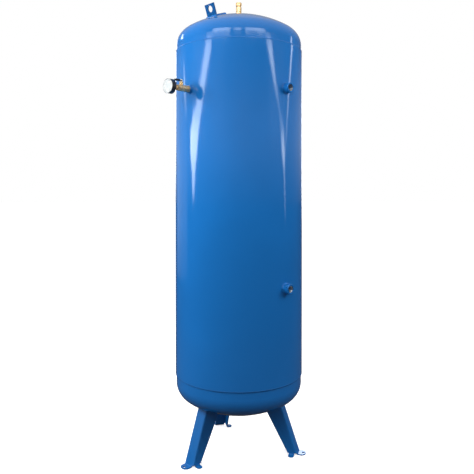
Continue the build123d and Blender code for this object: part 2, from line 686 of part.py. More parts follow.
def make_plate_rivets():
    """Four blind rivets: domed head, shank and set end."""
    face = PLATE_THICKNESS + 2 * JOIN_GAP
    with BuildPart() as rivets:
        with BuildSketch(plate_face(-BRACKET_THICKNESS - 2 * RIVET_RADIUS)):
            with rivet_places():
                Circle(RIVET_RADIUS)
        extrude(amount=BRACKET_THICKNESS + 2 * RIVET_RADIUS + face)
        with BuildSketch(plate_face(face)):
            with rivet_places():
                Circle(RIVET_HEAD_RADIUS)
        extrude(amount=RIVET_RADIUS / 2, taper=RIVET_HEAD_TAPER)
        with BuildSketch(plate_face(-BRACKET_THICKNESS - JOIN_GAP)):
            with rivet_places():
                Circle(RIVET_RADIUS * RIVET_SET)
        extrude(amount=-RIVET_RADIUS)
    return rivets


# ---------------------------------------------------------------- gauge cock
def gauge_plane(distance):
    return radial_plane(GAUGE_AZIMUTH, distance, GAUGE_Z)


def stem_plane(height=0.0):
    """Level plane on the cock's stem, x outward along the gauge line."""
    c, s = cos(radians(GAUGE_AZIMUTH)), sin(radians(GAUGE_AZIMUTH))
    origin = (COCK_AXIS_RADIUS * c, COCK_AXIS_RADIUS * s, GAUGE_Z + height)
    return Plane(origin=origin, x_dir=(c, s, 0), z_dir=(0, 0, 1))


def ball_cavity(radius, mode):
    with BuildSketch(meridian_plane(GAUGE_AZIMUTH, GAUGE_Z)) as half_disc:
        with BuildLine():
            arc = CenterArc((COCK_AXIS_RADIUS, 0), radius, 0, 180)
            Line(arc @ 1, arc @ 0)
        make_face()
    revolve(half_disc.sketch, axis=radial_axis(GAUGE_AZIMUTH, GAUGE_Z), mode=mode)


def make_cock_body():
    """Ball valve body: threaded shank, hexagon, barrel and stem neck."""
    shank_start = SOCKET_FACE - SMALL_BORE_RADIUS - SMALL_SOCKET_REACH
    hex_end = COCK_HEX_START + COCK_HEX_LENGTH
    chamfer = 1.0
    with BuildPart() as body:
        turn_gauge([(shank_start, 0), (shank_start, SMALL_BORE_RADIUS - THREAD_GAP - chamfer),
                    (shank_start + chamfer, SMALL_BORE_RADIUS - THREAD_GAP),
                    (hex_end, SMALL_BORE_RADIUS - THREAD_GAP), (hex_end, COCK_BODY_RADIUS - 2 * chamfer),
                    (hex_end + 2 * chamfer, COCK_BODY_RADIUS), (COCK_CAVITY_END - chamfer, COCK_BODY_RADIUS),
                    (COCK_CAVITY_END, COCK_BODY_RADIUS - chamfer), (COCK_CAVITY_END, 0)])
        hexagon(gauge_plane(COCK_HEX_START), COCK_HEX, COCK_HEX_LENGTH)
        disc(stem_plane(), COCK_NECK_RADIUS, COCK_NECK_HEIGHT)
        turn_gauge(ring_points(shank_start, COCK_CAVITY_END, 0, COCK_PORT_RADIUS), Mode.SUBTRACT)
        turn_gauge(ring_points(COCK_AXIS_RADIUS - BALL_RADIUS - JOIN_GAP, COCK_CAVITY_END, 0,
                               COCK_CAVITY_RADIUS), Mode.SUBTRACT)
        disc(stem_plane(), STEM_RADIUS + RUNNING_GAP, COCK_NECK_HEIGHT, Mode.SUBTRACT)
        disc(stem_plane(COCK_NECK_HEIGHT - PACKING_HEIGHT - GLAND_NOSE), PACKING_RADIUS + JOIN_GAP,
             PACKING_HEIGHT + GLAND_NOSE, Mode.SUBTRACT)
    return body


def make_cock_seats():
    """Two sealing rings cupped to the ball."""
    near = COCK_AXIS_RADIUS - BALL_RADIUS
    far = COCK_AXIS_RADIUS + BALL_RADIUS
    with BuildPart() as seats:
        turn_gauge(ring_points(near, near + SEAT_DEPTH, COCK_PORT_RADIUS, COCK_CAVITY_RADIUS - JOIN_GAP))
        turn_gauge(ring_points(far - SEAT_DEPTH, far, COCK_PORT_RADIUS, COCK_CAVITY_RADIUS - JOIN_GAP))
        ball_cavity(BALL_RADIUS + RUNNING_GAP, Mode.SUBTRACT)
    return seats


def make_cock_end():
    """Screwed-in end piece that holds the outer seat and takes the gauge."""
    start = COCK_AXIS_RADIUS + BALL_RADIUS + JOIN_GAP
    hex_start = COCK_CAVITY_END + JOIN_GAP
    with BuildPart() as end:
        turn_gauge(ring_points(start, hex_start + 1, 0, COCK_CAVITY_RADIUS - THREAD_GAP))
        hexagon(gauge_plane(hex_start), COCK_END_HEX, COCK_END_LENGTH)
        turn_gauge(ring_points(start, COCK_END_FACE, 0, COCK_PORT_RADIUS), Mode.SUBTRACT)
        turn_gauge(ring_points(hex_start, COCK_END_FACE, 0, GAUGE_THREAD_RADIUS + THREAD_GAP), Mode.SUBTRACT)
    return end


def make_cock_ball():
    with BuildPart() as ball:
        ball_cavity(BALL_RADIUS, Mode.ADD)
        turn_gauge(ring_points(COCK_AXIS_RADIUS - BALL_RADIUS, COCK_AXIS_RADIUS + BALL_RADIUS, 0,
                               COCK_PORT_RADIUS), Mode.SUBTRACT)
        with BuildSketch(stem_plane(BALL_RADIUS - STEM_TANG_WIDTH / 2)):
            Rectangle(STEM_TANG_WIDTH + 2 * RUNNING_GAP, 2 * BALL_RADIUS)
        extrude(amount=BALL_RADIUS, mode=Mode.SUBTRACT)
    return ball


def make_cock_stem():
    """Turned stem with a flat tang that drives the ball."""
    shoulder = BALL_RADIUS + RUNNING_GAP
    tang_foot = BALL_RADIUS - STEM_TANG_WIDTH / 2 + RUNNING_GAP
    with BuildPart() as stem:
        disc(stem_plane(shoulder), STEM_RADIUS, STEM_TOP - shoulder)
        with BuildSketch(stem_plane(tang_foot)):
            Rectangle(STEM_TANG_WIDTH, 1.5 * STEM_RADIUS)
        extrude(amount=shoulder - tang_foot)
    return stem


def make_stem_packing():
    with BuildPart() as packing:
        with BuildSketch(stem_plane(COCK_NECK_HEIGHT - PACKING_HEIGHT - GLAND_NOSE + JOIN_GAP)):
            Circle(PACKING_RADIUS)
            Circle(STEM_RADIUS + RUNNING_GAP, mode=Mode.SUBTRACT)
        extrude(amount=PACKING_HEIGHT)
    return packing


def make_gland_nut():
    nose = GLAND_NOSE - 3 * JOIN_GAP
    with BuildPart() as nut:
        hexagon(stem_plane(COCK_NECK_HEIGHT + JOIN_GAP), GLAND_HEX, GLAND_HEIGHT)
        disc(stem_plane(COCK_NECK_HEIGHT - nose), PACKING_RADIUS, nose + 1)
        disc(stem_plane(COCK_NECK_HEIGHT - nose), STEM_RADIUS + RUNNING_GAP, 2 * GLAND_HEIGHT, Mode.SUBTRACT)
    return nut


def make_cock_lever():
    """Flat steel lever, lying along the line when the cock is open."""
    with BuildPart() as lever:
        with BuildSketch(stem_plane(LEVER_HEIGHT)):
            Circle(LEVER_EYE_RADIUS)
            with Locations((LEVER_LENGTH / 2, 0)):
                Rectangle(LEVER_LENGTH, LEVER_WIDTH)
            fillet(vertices().group_by(Axis.X)[-1], LEVER_WIDTH / 4)
            Circle(STEM_RADIUS + JOIN_GAP, mode=Mode.SUBTRACT)
        extrude(amount=LEVER_THICKNESS)
    return lever


def make_lever_sleeve():
    """Dipped plastic sleeve over the lever's outer end."""
    middle = LEVER_HEIGHT + LEVER_THICKNESS / 2
    length = SLEEVE_END - SLEEVE_START
    with BuildPart() as sleeve:
        with BuildSketch(stem_plane(middle - SLEEVE_THICKNESS / 2)):
            with Locations((SLEEVE_START + length / 2, 0)):
                RectangleRounded(length, SLEEVE_WIDTH, SLEEVE_WIDTH * SLEEVE_ROUND)
        extrude(amount=SLEEVE_THICKNESS)
        fillet(edges().group_by(Axis.Z)[0] + edges().group_by(Axis.Z)[-1], SLEEVE_THICKNESS * SLEEVE_ROUND)
        with BuildSketch(stem_plane(LEVER_HEIGHT - JOIN_GAP)):
            with Locations((LEVER_LENGTH / 2 + JOIN_GAP, 0)):
                Rectangle(LEVER_LENGTH, LEVER_WIDTH + 2 * JOIN_GAP)
        extrude(amount=LEVER_THICKNESS + 2 * JOIN_GAP, mode=Mode.SUBTRACT)
    return sleeve


def make_lever_nut():
    with BuildPart() as nut:
        hexagon(stem_plane(LEVER_HEIGHT + LEVER_THICKNESS + JOIN_GAP), LEVER_NUT_HEX, LEVER_NUT_HEIGHT)
        disc(stem_plane(LEVER_HEIGHT), STEM_RADIUS + JOIN_GAP, 2 * LEVER_NUT_HEIGHT, Mode.SUBTRACT)
    return nut


# ---------------------------------------------------------------- pressure gauge
def make_gauge_stem():
    """Gauge connection: thread, square for the spanner, neck and the block inside the case."""
    square_start = COCK_END_FACE + JOIN_GAP
    square_end = GAUGE_BACK_RADIUS - GAUGE_NECK_RADIUS * 2
    inside = GAUGE_BACK_RADIUS + GAUGE_WALL + JOIN_GAP
    block_low = inside + BLOCK_GAP
    with BuildPart() as stem:
        turn_gauge(ring_points(COCK_END_FACE - COCK_END_LENGTH + 1, square_start + 1, 0, GAUGE_THREAD_RADIUS))
        with BuildSketch(gauge_plane(square_start)):
            RectangleRounded(GAUGE_SQUARE, GAUGE_SQUARE, 1)
        extrude(amount=square_end - square_start)
        turn_gauge(ring_points(square_end - 1, BACK_PLATE - JOIN_GAP, 0, GAUGE_NECK_RADIUS))
        with BuildSketch(gauge_plane(block_low)):
            with Locations((0, -(BOURDON_RADIUS - BOURDON_TUBE[0]) / 2)):
                Rectangle(2 * GAUGE_NECK_RADIUS - 2, BOURDON_RADIUS - BOURDON_TUBE[0])
        extrude(amount=BOURDON_TUBE[1])
        turn_gauge(ring_points(COCK_END_FACE - COCK_END_LENGTH, block_low + 2, 0, GAUGE_NECK_RADIUS / 2),
                   Mode.SUBTRACT)
    return stem


def make_bourdon_tube():
    """Flattened tube bent to a C; pressure opens it and drives the movement."""
    low = GAUGE_BACK_RADIUS + GAUGE_WALL + JOIN_GAP + BLOCK_GAP
    wall = TUBE_WALL
    deep, wide = BOURDON_TUBE
    plane = meridian_plane(GAUGE_AZIMUTH, GAUGE_Z)
    axis = radial_axis(GAUGE_AZIMUTH, GAUGE_Z)
    with BuildPart() as tube:
        with BuildSketch(plane):
            with Locations((low + wide / 2, -BOURDON_RADIUS)):
                RectangleRounded(wide, deep, deep * 0.45)
                RectangleRounded(wide - 2 * wall, deep - 2 * wall, deep * 0.25, mode=Mode.SUBTRACT)
        revolve(axis=axis, revolution_arc=BOURDON_SWEEP)
    return tube


def make_gauge_case():
    """Black cup behind the dial, with a hole for the neck."""
    radius = GAUGE_OD / 2
    floor = GAUGE_BACK_RADIUS + GAUGE_WALL
    with BuildPart() as case:
        turn_gauge([(GAUGE_BACK_RADIUS, GAUGE_NECK_RADIUS + JOIN_GAP), (GAUGE_BACK_RADIUS, radius - 3),
                    (GAUGE_BACK_RADIUS + 3, radius), (GAUGE_FRONT, radius),
                    (GAUGE_FRONT, radius - GAUGE_WALL),
                    (floor + 2, radius - GAUGE_WALL), (floor, radius - GAUGE_WALL - 2),
                    (floor, GAUGE_NECK_RADIUS + JOIN_GAP)])
    return case


def make_gauge_window():
    """Clear cover that snaps onto the front of the case."""
    radius = GAUGE_OD / 2
    base = GAUGE_FRONT + JOIN_GAP
    front = base + WINDOW_DEPTH
    with BuildPart() as window:
        turn_gauge([(base, radius), (front - 1, radius), (front, radius - 1), (front, 0),
                    (front - WINDOW_WALL, 0), (front - WINDOW_WALL, radius - WINDOW_WALL),
                    (base, radius - WINDOW_WALL)])
    return window


def make_gauge_dial():
    with BuildPart() as dial:
        with BuildSketch(gauge_plane(DIAL_BACK)):
            Circle(DIAL_RADIUS)
            Circle(ARBOR_RADIUS + RUNNING_GAP, mode=Mode.SUBTRACT)
        extrude(amount=DIAL_THICKNESS)
    return dial


def movement_outline():
    """Plate outline between the arbor and the sector's pivot."""
    with Locations((0, (PILLAR_RISE + PILLAR_DROP) / 2)):
        RectangleRounded(2 * (PILLAR_SPREAD + PLATE_MARGIN), PILLAR_RISE - PILLAR_DROP + 2 * PLATE_MARGIN,
                         PLATE_ROUND)


def pillar_places():
    places = [(side * PILLAR_SPREAD, height) for height in (PILLAR_RISE, PILLAR_DROP) for side in (-1, 1)]
    return Locations(*places)


def make_movement_plates():
    """Two brass plates joined by pillars; the arbor and the sector turn between them."""
    pivot = (0, -GEAR_DISTANCE)
    with BuildPart() as plates:
        for start in (BACK_PLATE, FRONT_PLATE):
            with BuildSketch(gauge_plane(start)):
                movement_outline()
                Circle(ARBOR_RADIUS + RUNNING_GAP, mode=Mode.SUBTRACT)
                with Locations(pivot):
                    Circle(ARBOR_RADIUS + RUNNING_GAP, mode=Mode.SUBTRACT)
            extrude(amount=MOVEMENT_PLATE)
        with BuildSketch(gauge_plane(BACK_PLATE)):
            with pillar_places():
                Circle(ARBOR_RADIUS)
        extrude(amount=MOVEMENT_SPACE + MOVEMENT_PLATE)
    return plates


def gear_teeth(pitch_radius, count, first, places):
    """Tapered teeth round the current sketch's origin."""
    sunk = pitch_radius - TOOTH_DEDENDUM - TOOTH_SINK
    tip = pitch_radius + TOOTH_ADDENDUM
    wide = TOOTH_THICKNESS * TOOTH_ROOT
    narrow = TOOTH_THICKNESS * TOOTH_TIP
    spread = 360 * (places - 1) / count
    with PolarLocations(0, places, start_angle=first, angular_range=spread, endpoint=True):
        Polygon((sunk, wide), (sunk, -wide), (pitch_radius, -TOOTH_THICKNESS / 2), (tip, -narrow),
                (tip, narrow), (pitch_radius, TOOTH_THICKNESS / 2), align=None)


def sector_plane(height):
    """Plane square to the sector's pivot."""
    plane = gauge_plane(GEAR_PLANE + height)
    return Plane(origin=plane.from_local_coords((0, -GEAR_DISTANCE, 0)), x_dir=plane.x_dir, z_dir=plane.z_dir)


def tail_point(distance):
    angle = radians(SECTOR_TAIL_ANGLE)
    return distance * cos(angle), distance * sin(angle)


def make_gauge_sector():
    """Toothed sector on its own pivot, driven by the tube's tip."""
    tooth = 360 / WHEEL_TEETH
    teeth = int(SECTOR_SWEEP / tooth) + 4
    first = 90 - tooth * (teeth - 2)
    with BuildPart() as sector:
        with BuildSketch(sector_plane(0)):
            with BuildLine():
                rim = CenterArc((0, 0), WHEEL_PITCH - TOOTH_DEDENDUM, first - tooth / 2, tooth * teeth)
                Polyline(rim @ 1, (0, 0), rim @ 0)
            make_face()
            Circle(SECTOR_TAIL_WIDTH)
            gear_teeth(WHEEL_PITCH, WHEEL_TEETH, first, teeth)
            with Locations(tail_point(SECTOR_TAIL / 2)):
                SlotCenterToCenter(SECTOR_TAIL, SECTOR_TAIL_WIDTH, rotation=SECTOR_TAIL_ANGLE)
        extrude(amount=GEAR_WIDTH)
        with BuildSketch(sector_plane(BACK_PLATE - GEAR_PLANE)):
            Circle(ARBOR_RADIUS)
        extrude(amount=MOVEMENT_SPACE + 2 * MOVEMENT_PLATE)
    return sector


def make_gauge_link():
    """Short link from the sector's tail towards the tube's tip."""
    angle = radians(LINK_ANGLE)
    tail_x, tail_y = tail_point(SECTOR_TAIL)
    middle = (tail_x + LINK_LENGTH / 2 * cos(angle), tail_y + LINK_LENGTH / 2 * sin(angle))
    with BuildPart() as link:
        with BuildSketch(sector_plane(-LINK_THICKNESS - JOIN_GAP)):
            with Locations(middle):
                SlotCenterToCenter(LINK_LENGTH, LINK_WIDTH, rotation=LINK_ANGLE)
        extrude(amount=LINK_THICKNESS)
    return link


def make_gauge_pinion():
    """Pointer arbor with its pinion."""
    length = DIAL_FACE + POINTER_LIFT + POINTER_THICKNESS - BACK_PLATE
    with BuildPart() as pinion:
        disc(gauge_plane(BACK_PLATE), ARBOR_RADIUS, length)
        with BuildSketch(gauge_plane(GEAR_PLANE)):
            Circle(PINION_PITCH - TOOTH_DEDENDUM)
            gear_teeth(PINION_PITCH, PINION_TEETH, -90 + 180 / PINION_TEETH, PINION_TEETH)
        extrude(amount=GEAR_WIDTH)
    return pinion


def make_gauge_pointer():
    """Tapered pointer, at zero towards the lower left of the dial."""
    rest = -90 - (360 - GAUGE_SWEEP) / 2
    tail, tip = POINTER_TAIL_WIDTH / 2, POINTER_TIP_WIDTH / 2
    with BuildPart() as pointer:
        with BuildSketch(gauge_plane(DIAL_FACE + POINTER_LIFT)):
            with Locations(Location((0, 0), rest)):
                Polygon((-POINTER_TAIL, -tail), (-POINTER_TAIL, tail), (POINTER_LENGTH, tip),
                        (POINTER_LENGTH, -tip), align=None)
            Circle(POINTER_HUB_RADIUS)
            Circle(ARBOR_RADIUS + JOIN_GAP / 2, mode=Mode.SUBTRACT)
        extrude(amount=POINTER_THICKNESS)
    return pointer


# ---------------------------------------------------------------- safety valve
VALVE_SEAT_FACE = VALVE_SEAT_Z + VALVE_HEX_HEIGHT
VALVE_BODY_TOP = VALVE_SEAT_FACE + VALVE_BODY_HEIGHT
VALVE_ADJUSTER_FOOT = VALVE_BODY_TOP - VALVE_ADJUSTER_HEIGHT
DISC_FOOT = VALVE_SEAT_FACE + RUNNING_GAP + VALVE_WASHER + JOIN_GAP
DISC_TOP = DISC_FOOT + VALVE_DISC_HEIGHT


def make_valve_body():
    """Safety valve body with its nozzle, spring chamber and discharge ports."""
    thread = SMALL_BORE_RADIUS - THREAD_GAP
    foot = VALVE_SEAT_Z - SMALL_SOCKET_REACH - SMALL_BORE_RADIUS
    with BuildPart() as body:
        turn_z([(0, foot), (thread - 1, foot), (thread, foot + 1), (thread, VALVE_SEAT_FACE),
                (VALVE_BODY_RADIUS - 1, VALVE_SEAT_FACE), (VALVE_BODY_RADIUS, VALVE_SEAT_FACE + 1),
                (VALVE_BODY_RADIUS, VALVE_BODY_TOP - 1), (VALVE_BODY_RADIUS - 1, VALVE_BODY_TOP),
                (0, VALVE_BODY_TOP)])
        hexagon(Plane.XY.offset(VALVE_SEAT_Z), VALVE_HEX, VALVE_HEX_HEIGHT)
        turn_z(tube_points(0, VALVE_BORE_RADIUS, foot, VALVE_BODY_TOP), Mode.SUBTRACT)
        turn_z(tube_points(0, VALVE_CHAMBER_RADIUS, VALVE_SEAT_FACE, VALVE_BODY_TOP), Mode.SUBTRACT)
        for index in range(VALVE_WALL_PORTS):
            port = radial_plane(360 * (index + 0.5) / VALVE_WALL_PORTS, 0, DISC_TOP + VALVE_PORT_RADIUS)
            disc(port, VALVE_PORT_RADIUS, 2 * VALVE_BODY_RADIUS, Mode.SUBTRACT)
    return body


def make_valve_washer():
    low = VALVE_SEAT_FACE + RUNNING_GAP
    with BuildPart() as washer:
        turn_z(tube_points(0, VALVE_DISC_RADIUS, low, low + VALVE_WASHER))
    return washer


def make_valve_disc():
    """Disc carrier under the spring."""
    with BuildPart() as valve_disc:
        turn_z(tube_points(0, VALVE_DISC_RADIUS + VALVE_DISC_RIM, DISC_FOOT, DISC_TOP))
    return valve_disc


def make_valve_stem():
    low = DISC_TOP + JOIN_GAP
    high = VALVE_BODY_TOP + VALVE_CAP_GAP + VALVE_CAP_HEIGHT - VALVE_CAP_ROOF
    collar = SPRING_RADIUS - SPRING_WIRE
    with BuildPart() as stem:
        turn_z([(0, low), (collar, low), (collar, low + VALVE_COLLAR_HEIGHT),
                (VALVE_STEM_RADIUS, low + VALVE_COLLAR_HEIGHT), (VALVE_STEM_RADIUS, high), (0, high)])
    return stem


def make_valve_spring():
    """Compression spring between the disc and the adjuster."""
    low = DISC_TOP + JOIN_GAP + SPRING_WIRE / 2
    high = VALVE_ADJUSTER_FOOT - JOIN_GAP - SPRING_WIRE / 2
    with BuildPart() as spring:
        with BuildLine() as path:
            Helix((high - low) / SPRING_TURNS, high - low, SPRING_RADIUS, center=(0, 0, low))
        with BuildSketch(path.line ^ 0):
            Circle(SPRING_WIRE / 2)
        sweep(is_frenet=True)
    return spring


def make_valve_adjuster():
    """Screwed ring that sets the spring, with a flanged top below the cap."""
    top = VALVE_BODY_TOP + VALVE_CAP_GAP - VALVE_ADJUSTER_CLEAR
    with BuildPart() as adjuster:
        turn_z([(VALVE_STEM_RADIUS + RUNNING_GAP, VALVE_ADJUSTER_FOOT),
                (VALVE_CHAMBER_RADIUS - THREAD_GAP, VALVE_ADJUSTER_FOOT),
                (VALVE_CHAMBER_RADIUS - THREAD_GAP, top - 1), (VALVE_CHAMBER_RADIUS - 1, top),
                (VALVE_STEM_RADIUS + RUNNING_GAP, top)])
    return adjuster


def make_valve_cap():
    """Knob that lifts the stem by hand."""
    low = VALVE_BODY_TOP + VALVE_CAP_GAP
    high = low + VALVE_CAP_HEIGHT
    inner = VALVE_STEM_RADIUS + JOIN_GAP
    ceiling = high - VALVE_CAP_ROOF + JOIN_GAP
    with BuildPart() as cap:
        turn_z([(inner, low), (VALVE_CAP_RADIUS - 1, low), (VALVE_CAP_RADIUS, low + 1),
                (VALVE_CAP_RADIUS, high - 2), (VALVE_CAP_RADIUS - 2, high), (0, high),
                (0, ceiling), (inner, ceiling)])
    return cap


# ---------------------------------------------------------------- drain cock
DRAIN_HEX_FOOT = DRAIN_SEAT_Z - DRAIN_HEX_HEIGHT
DRAIN_BOSS_FOOT = DRAIN_HEX_FOOT - DRAIN_BOSS_HEIGHT
DRAIN_CEILING = DRAIN_SEAT_Z - DRAIN_CEILING_DEPTH
DRAIN_SEAL_TOP = DRAIN_CEILING - RUNNING_GAP
DRAIN_SCREW_TOP = DRAIN_SEAL_TOP - DRAIN_SEAL_HEIGHT - RUNNING_GAP


def make_drain_body():
    """Drain cock body: shank, hexagon, boss and side outlet."""
    thread = SMALL_BORE_RADIUS - THREAD_GAP
    top = DRAIN_SEAT_Z + DRAIN_SOCKET_REACH
    chamber_foot = DRAIN_SEAL_TOP - DRAIN_SEAL_HEIGHT - DRAIN_TRAVEL - DRAIN_CHAMBER_SPARE
    with BuildPart() as body:
        turn_z([(0, top), (thread - 1, top), (thread, top - 1), (thread, DRAIN_HEX_FOOT),
                (thread - 1.5, DRAIN_BOSS_FOOT), (0, DRAIN_BOSS_FOOT)])
        hexagon(Plane.XY.offset(DRAIN_HEX_FOOT), DRAIN_HEX, DRAIN_HEX_HEIGHT)
        turn_z(tube_points(0, DRAIN_PORT_RADIUS, DRAIN_CEILING - 1, top), Mode.SUBTRACT)
        chamber = tube_points(0, DRAIN_SEAL_RADIUS + 4 * RUNNING_GAP, chamber_foot, DRAIN_CEILING)
        turn_z(chamber, Mode.SUBTRACT)
        thread_hole = tube_points(0, DRAIN_THREAD_RADIUS + RUNNING_GAP, DRAIN_BOSS_FOOT, DRAIN_CEILING)
        turn_z(thread_hole, Mode.SUBTRACT)
        outlet = radial_plane(90, 0, DRAIN_CEILING - DRAIN_SEAL_HEIGHT)
        disc(outlet, DRAIN_OUTLET_RADIUS, DRAIN_HEX, Mode.SUBTRACT)
    return body


def make_drain_seal():
    with BuildPart() as seal:
        turn_z(tube_points(0, DRAIN_SEAL_RADIUS, DRAIN_SEAL_TOP - DRAIN_SEAL_HEIGHT, DRAIN_SEAL_TOP))
    return seal


def make_drain_screw():
    """Thumb screw with a scalloped knob."""
    knob_top = DRAIN_BOSS_FOOT - DRAIN_KNOB_GAP
    knob_foot = knob_top - DRAIN_KNOB_HEIGHT
    with BuildPart() as screw:
        turn_z(tube_points(0, DRAIN_THREAD_RADIUS, knob_foot, DRAIN_SCREW_TOP))
        with BuildSketch(Plane.XY.offset(knob_foot)):
            Circle(DRAIN_KNOB_RADIUS)
            with PolarLocations(DRAIN_KNOB_RADIUS + DRAIN_KNURL_OFFSET, DRAIN_KNURLS):
                Circle(DRAIN_KNURL_RADIUS, mode=Mode.SUBTRACT)
        extrude(amount=DRAIN_KNOB_HEIGHT)
    return screw


# ---------------------------------------------------------------- pieces
def make_pieces():
    pieces = {
        "shell": make_shell(),
        "top_head": make_head(TOP_HEAD_PLANE, TOP_FLANGE),
        "bottom_head": make_head(BOTTOM_HEAD_PLANE, BOTTOM_FLANGE),
        "top_girth_weld": make_girth_weld(TOP_HEAD_PLANE, TOP_FLANGE),
        "bottom_girth_weld": make_girth_weld(BOTTOM_HEAD_PLANE, BOTTOM_FLANGE),
        "shell_seam_weld": make_seam_weld(),
        "gauge_socket": make_shell_socket(GAUGE_AZIMUTH, GAUGE_Z, SMALL_SOCKET_OD, SMALL_SOCKET_REACH,
                                          SMALL_BORE_RADIUS),
        "upper_side_socket": make_shell_socket(SIDE_AZIMUTH, UPPER_SIDE_Z, SIDE_SOCKET_OD, SIDE_SOCKET_REACH,
                                               SIDE_BORE_RADIUS),
        "lower_side_socket": make_shell_socket(SIDE_AZIMUTH, LOWER_SIDE_Z, SIDE_SOCKET_OD, SIDE_SOCKET_REACH,
                                               SIDE_BORE_RADIUS),
        "safety_valve_socket": make_head_socket(TOP_POLE_Z, 1, SMALL_SOCKET_REACH),
        "drain_socket": make_head_socket(BOTTOM_POLE_Z, -1, DRAIN_SOCKET_REACH),
        "socket_welds": make_socket_welds(),
        "lifting_lug_front": make_lug(LUG_AZIMUTH),
        "lifting_lug_rear": make_lug(LUG_AZIMUTH + 180),
        "lug_welds": make_lug_welds(),
        "plate_bracket": make_plate_bracket(),
        "data_plate": make_data_plate(),
        "plate_rivets": make_plate_rivets(),
        "cock_body": make_cock_body(),
        "cock_seats": make_cock_seats(),
        "cock_end": make_cock_end(),
        "cock_ball": make_cock_ball(),
        "cock_stem": make_cock_stem(),
        "stem_packing": make_stem_packing(),
        "gland_nut": make_gland_nut(),
        "cock_lever": make_cock_lever(),
        "lever_sleeve": make_lever_sleeve(),
        "lever_nut": make_lever_nut(),
        "gauge_stem": make_gauge_stem(),
        "bourdon_tube": make_bourdon_tube(),
        "gauge_case": make_gauge_case(),
        "gauge_window": make_gauge_window(),
        "gauge_dial": make_gauge_dial(),
        "movement_plates": make_movement_plates(),
        "gauge_sector": make_gauge_sector(),
        "gauge_link": make_gauge_link(),
        "gauge_pinion": make_gauge_pinion(),
        "gauge_pointer": make_gauge_pointer(),
        "safety_valve_body": make_valve_body(),
        "safety_valve_washer": make_valve_washer(),
        "safety_valve_disc": make_valve_disc(),
        "safety_valve_stem": make_valve_stem(),
        "safety_valve_spring": make_valve_spring(),
        "safety_valve_adjuster": make_valve_adjuster(),
        "safety_valve_cap": make_valve_cap(),
        "drain_body": make_drain_body(),
        "drain_seal": make_drain_seal(),
        "drain_screw": make_drain_screw(),
    }
    for name, azimuth in LEG_AZIMUTHS.items():
        pieces[name] = make_leg(azimuth, LEG_HANDS[name])
        pieces[name + "_weld"] = make_leg_weld(azimuth, LEG_HANDS[name])
    return pieces


os.makedirs("parts", exist_ok=True)
for label, piece in make_pieces().items():
    piece.part.label = label
    export_step(piece.part, f"parts/{label}.step")
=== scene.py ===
"""Visual pieces, finishes and stage of a 500 litre vertical air receiver, built round its CAD frame."""
import json
from math import atan2, cos, pi, radians, sin, sqrt, tau

import bmesh
import bpy
from mathutils import Matrix, Vector


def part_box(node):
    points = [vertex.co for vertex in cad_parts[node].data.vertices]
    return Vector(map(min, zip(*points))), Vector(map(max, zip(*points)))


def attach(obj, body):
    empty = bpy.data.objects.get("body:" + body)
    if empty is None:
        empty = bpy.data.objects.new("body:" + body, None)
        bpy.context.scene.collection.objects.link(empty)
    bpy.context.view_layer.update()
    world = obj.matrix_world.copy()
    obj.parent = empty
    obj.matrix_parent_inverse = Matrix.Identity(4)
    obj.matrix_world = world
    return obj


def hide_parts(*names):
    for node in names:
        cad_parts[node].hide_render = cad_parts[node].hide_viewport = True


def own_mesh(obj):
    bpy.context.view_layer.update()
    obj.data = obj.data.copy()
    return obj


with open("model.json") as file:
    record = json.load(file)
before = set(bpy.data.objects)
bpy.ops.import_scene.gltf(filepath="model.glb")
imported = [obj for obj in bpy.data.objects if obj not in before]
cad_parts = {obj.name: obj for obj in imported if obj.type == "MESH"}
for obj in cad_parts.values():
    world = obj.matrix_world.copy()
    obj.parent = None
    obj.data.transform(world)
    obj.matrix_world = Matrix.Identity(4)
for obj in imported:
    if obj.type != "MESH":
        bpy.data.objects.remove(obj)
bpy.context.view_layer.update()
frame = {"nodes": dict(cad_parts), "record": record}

bl_info = {
    "name": "Air receiver",
    "version": (1, 0, 0),
    "blender": (4, 5, 0),
    "location": "3D View > Sidebar > Receiver",
    "description": "Weld beads, dial print, knurls, finishes and stage of a vertical air receiver",
    "category": "Add Mesh",
}

MM = 0.001

# ---------------------------------------------------------------- places on the vessel, in metres
SHELL_RADIUS = 300.0 * MM
HEAD_RADIUS = 296.0 * MM
SHELL_LOW = 375.0 * MM
SHELL_HIGH = 1886.0 * MM
SEAM_AZIMUTH = 120.0
GAUGE_AZIMUTH = 210.0
GAUGE_Z = 1679.0 * MM
SIDE_AZIMUTH = 300.0
SIDE_HEIGHTS = (1683.0 * MM, 802.0 * MM)
SIDE_SOCKET_RADIUS = 23.0 * MM
SIDE_SOCKET_END = 328.0 * MM
SIDE_BORE_RADIUS = 15.15 * MM
SMALL_SOCKET_RADIUS = 17.0 * MM
TOP_POLE = 2056.87 * MM
BOTTOM_POLE = 193.13 * MM
CROWN_RADIUS = 500.0 * MM
DIAL_FACE = 418.0 * MM
DIAL_RADIUS = 27.5 * MM
DIAL_START = 225.0
DIAL_SWEEP = 270.0
DIAL_TOP = 16
PLATE_AZIMUTH = 60.0
PLATE_Z = 1480.0 * MM
PLATE_FACE = 314.9 * MM
PLATE_SIZE = (110.0 * MM, 74.0 * MM)
SPRING_WIRE = 1.4 * MM
SPRING_TURNS = 4.5
SPRING_STEPS = 28
SPRING_SLOT = "spring_steel"
CAP_RADIUS = 13.5 * MM
CAP_LOW = 2113.6 * MM
CAP_HIGH = 2130.6 * MM
CAP_RIBS = 44

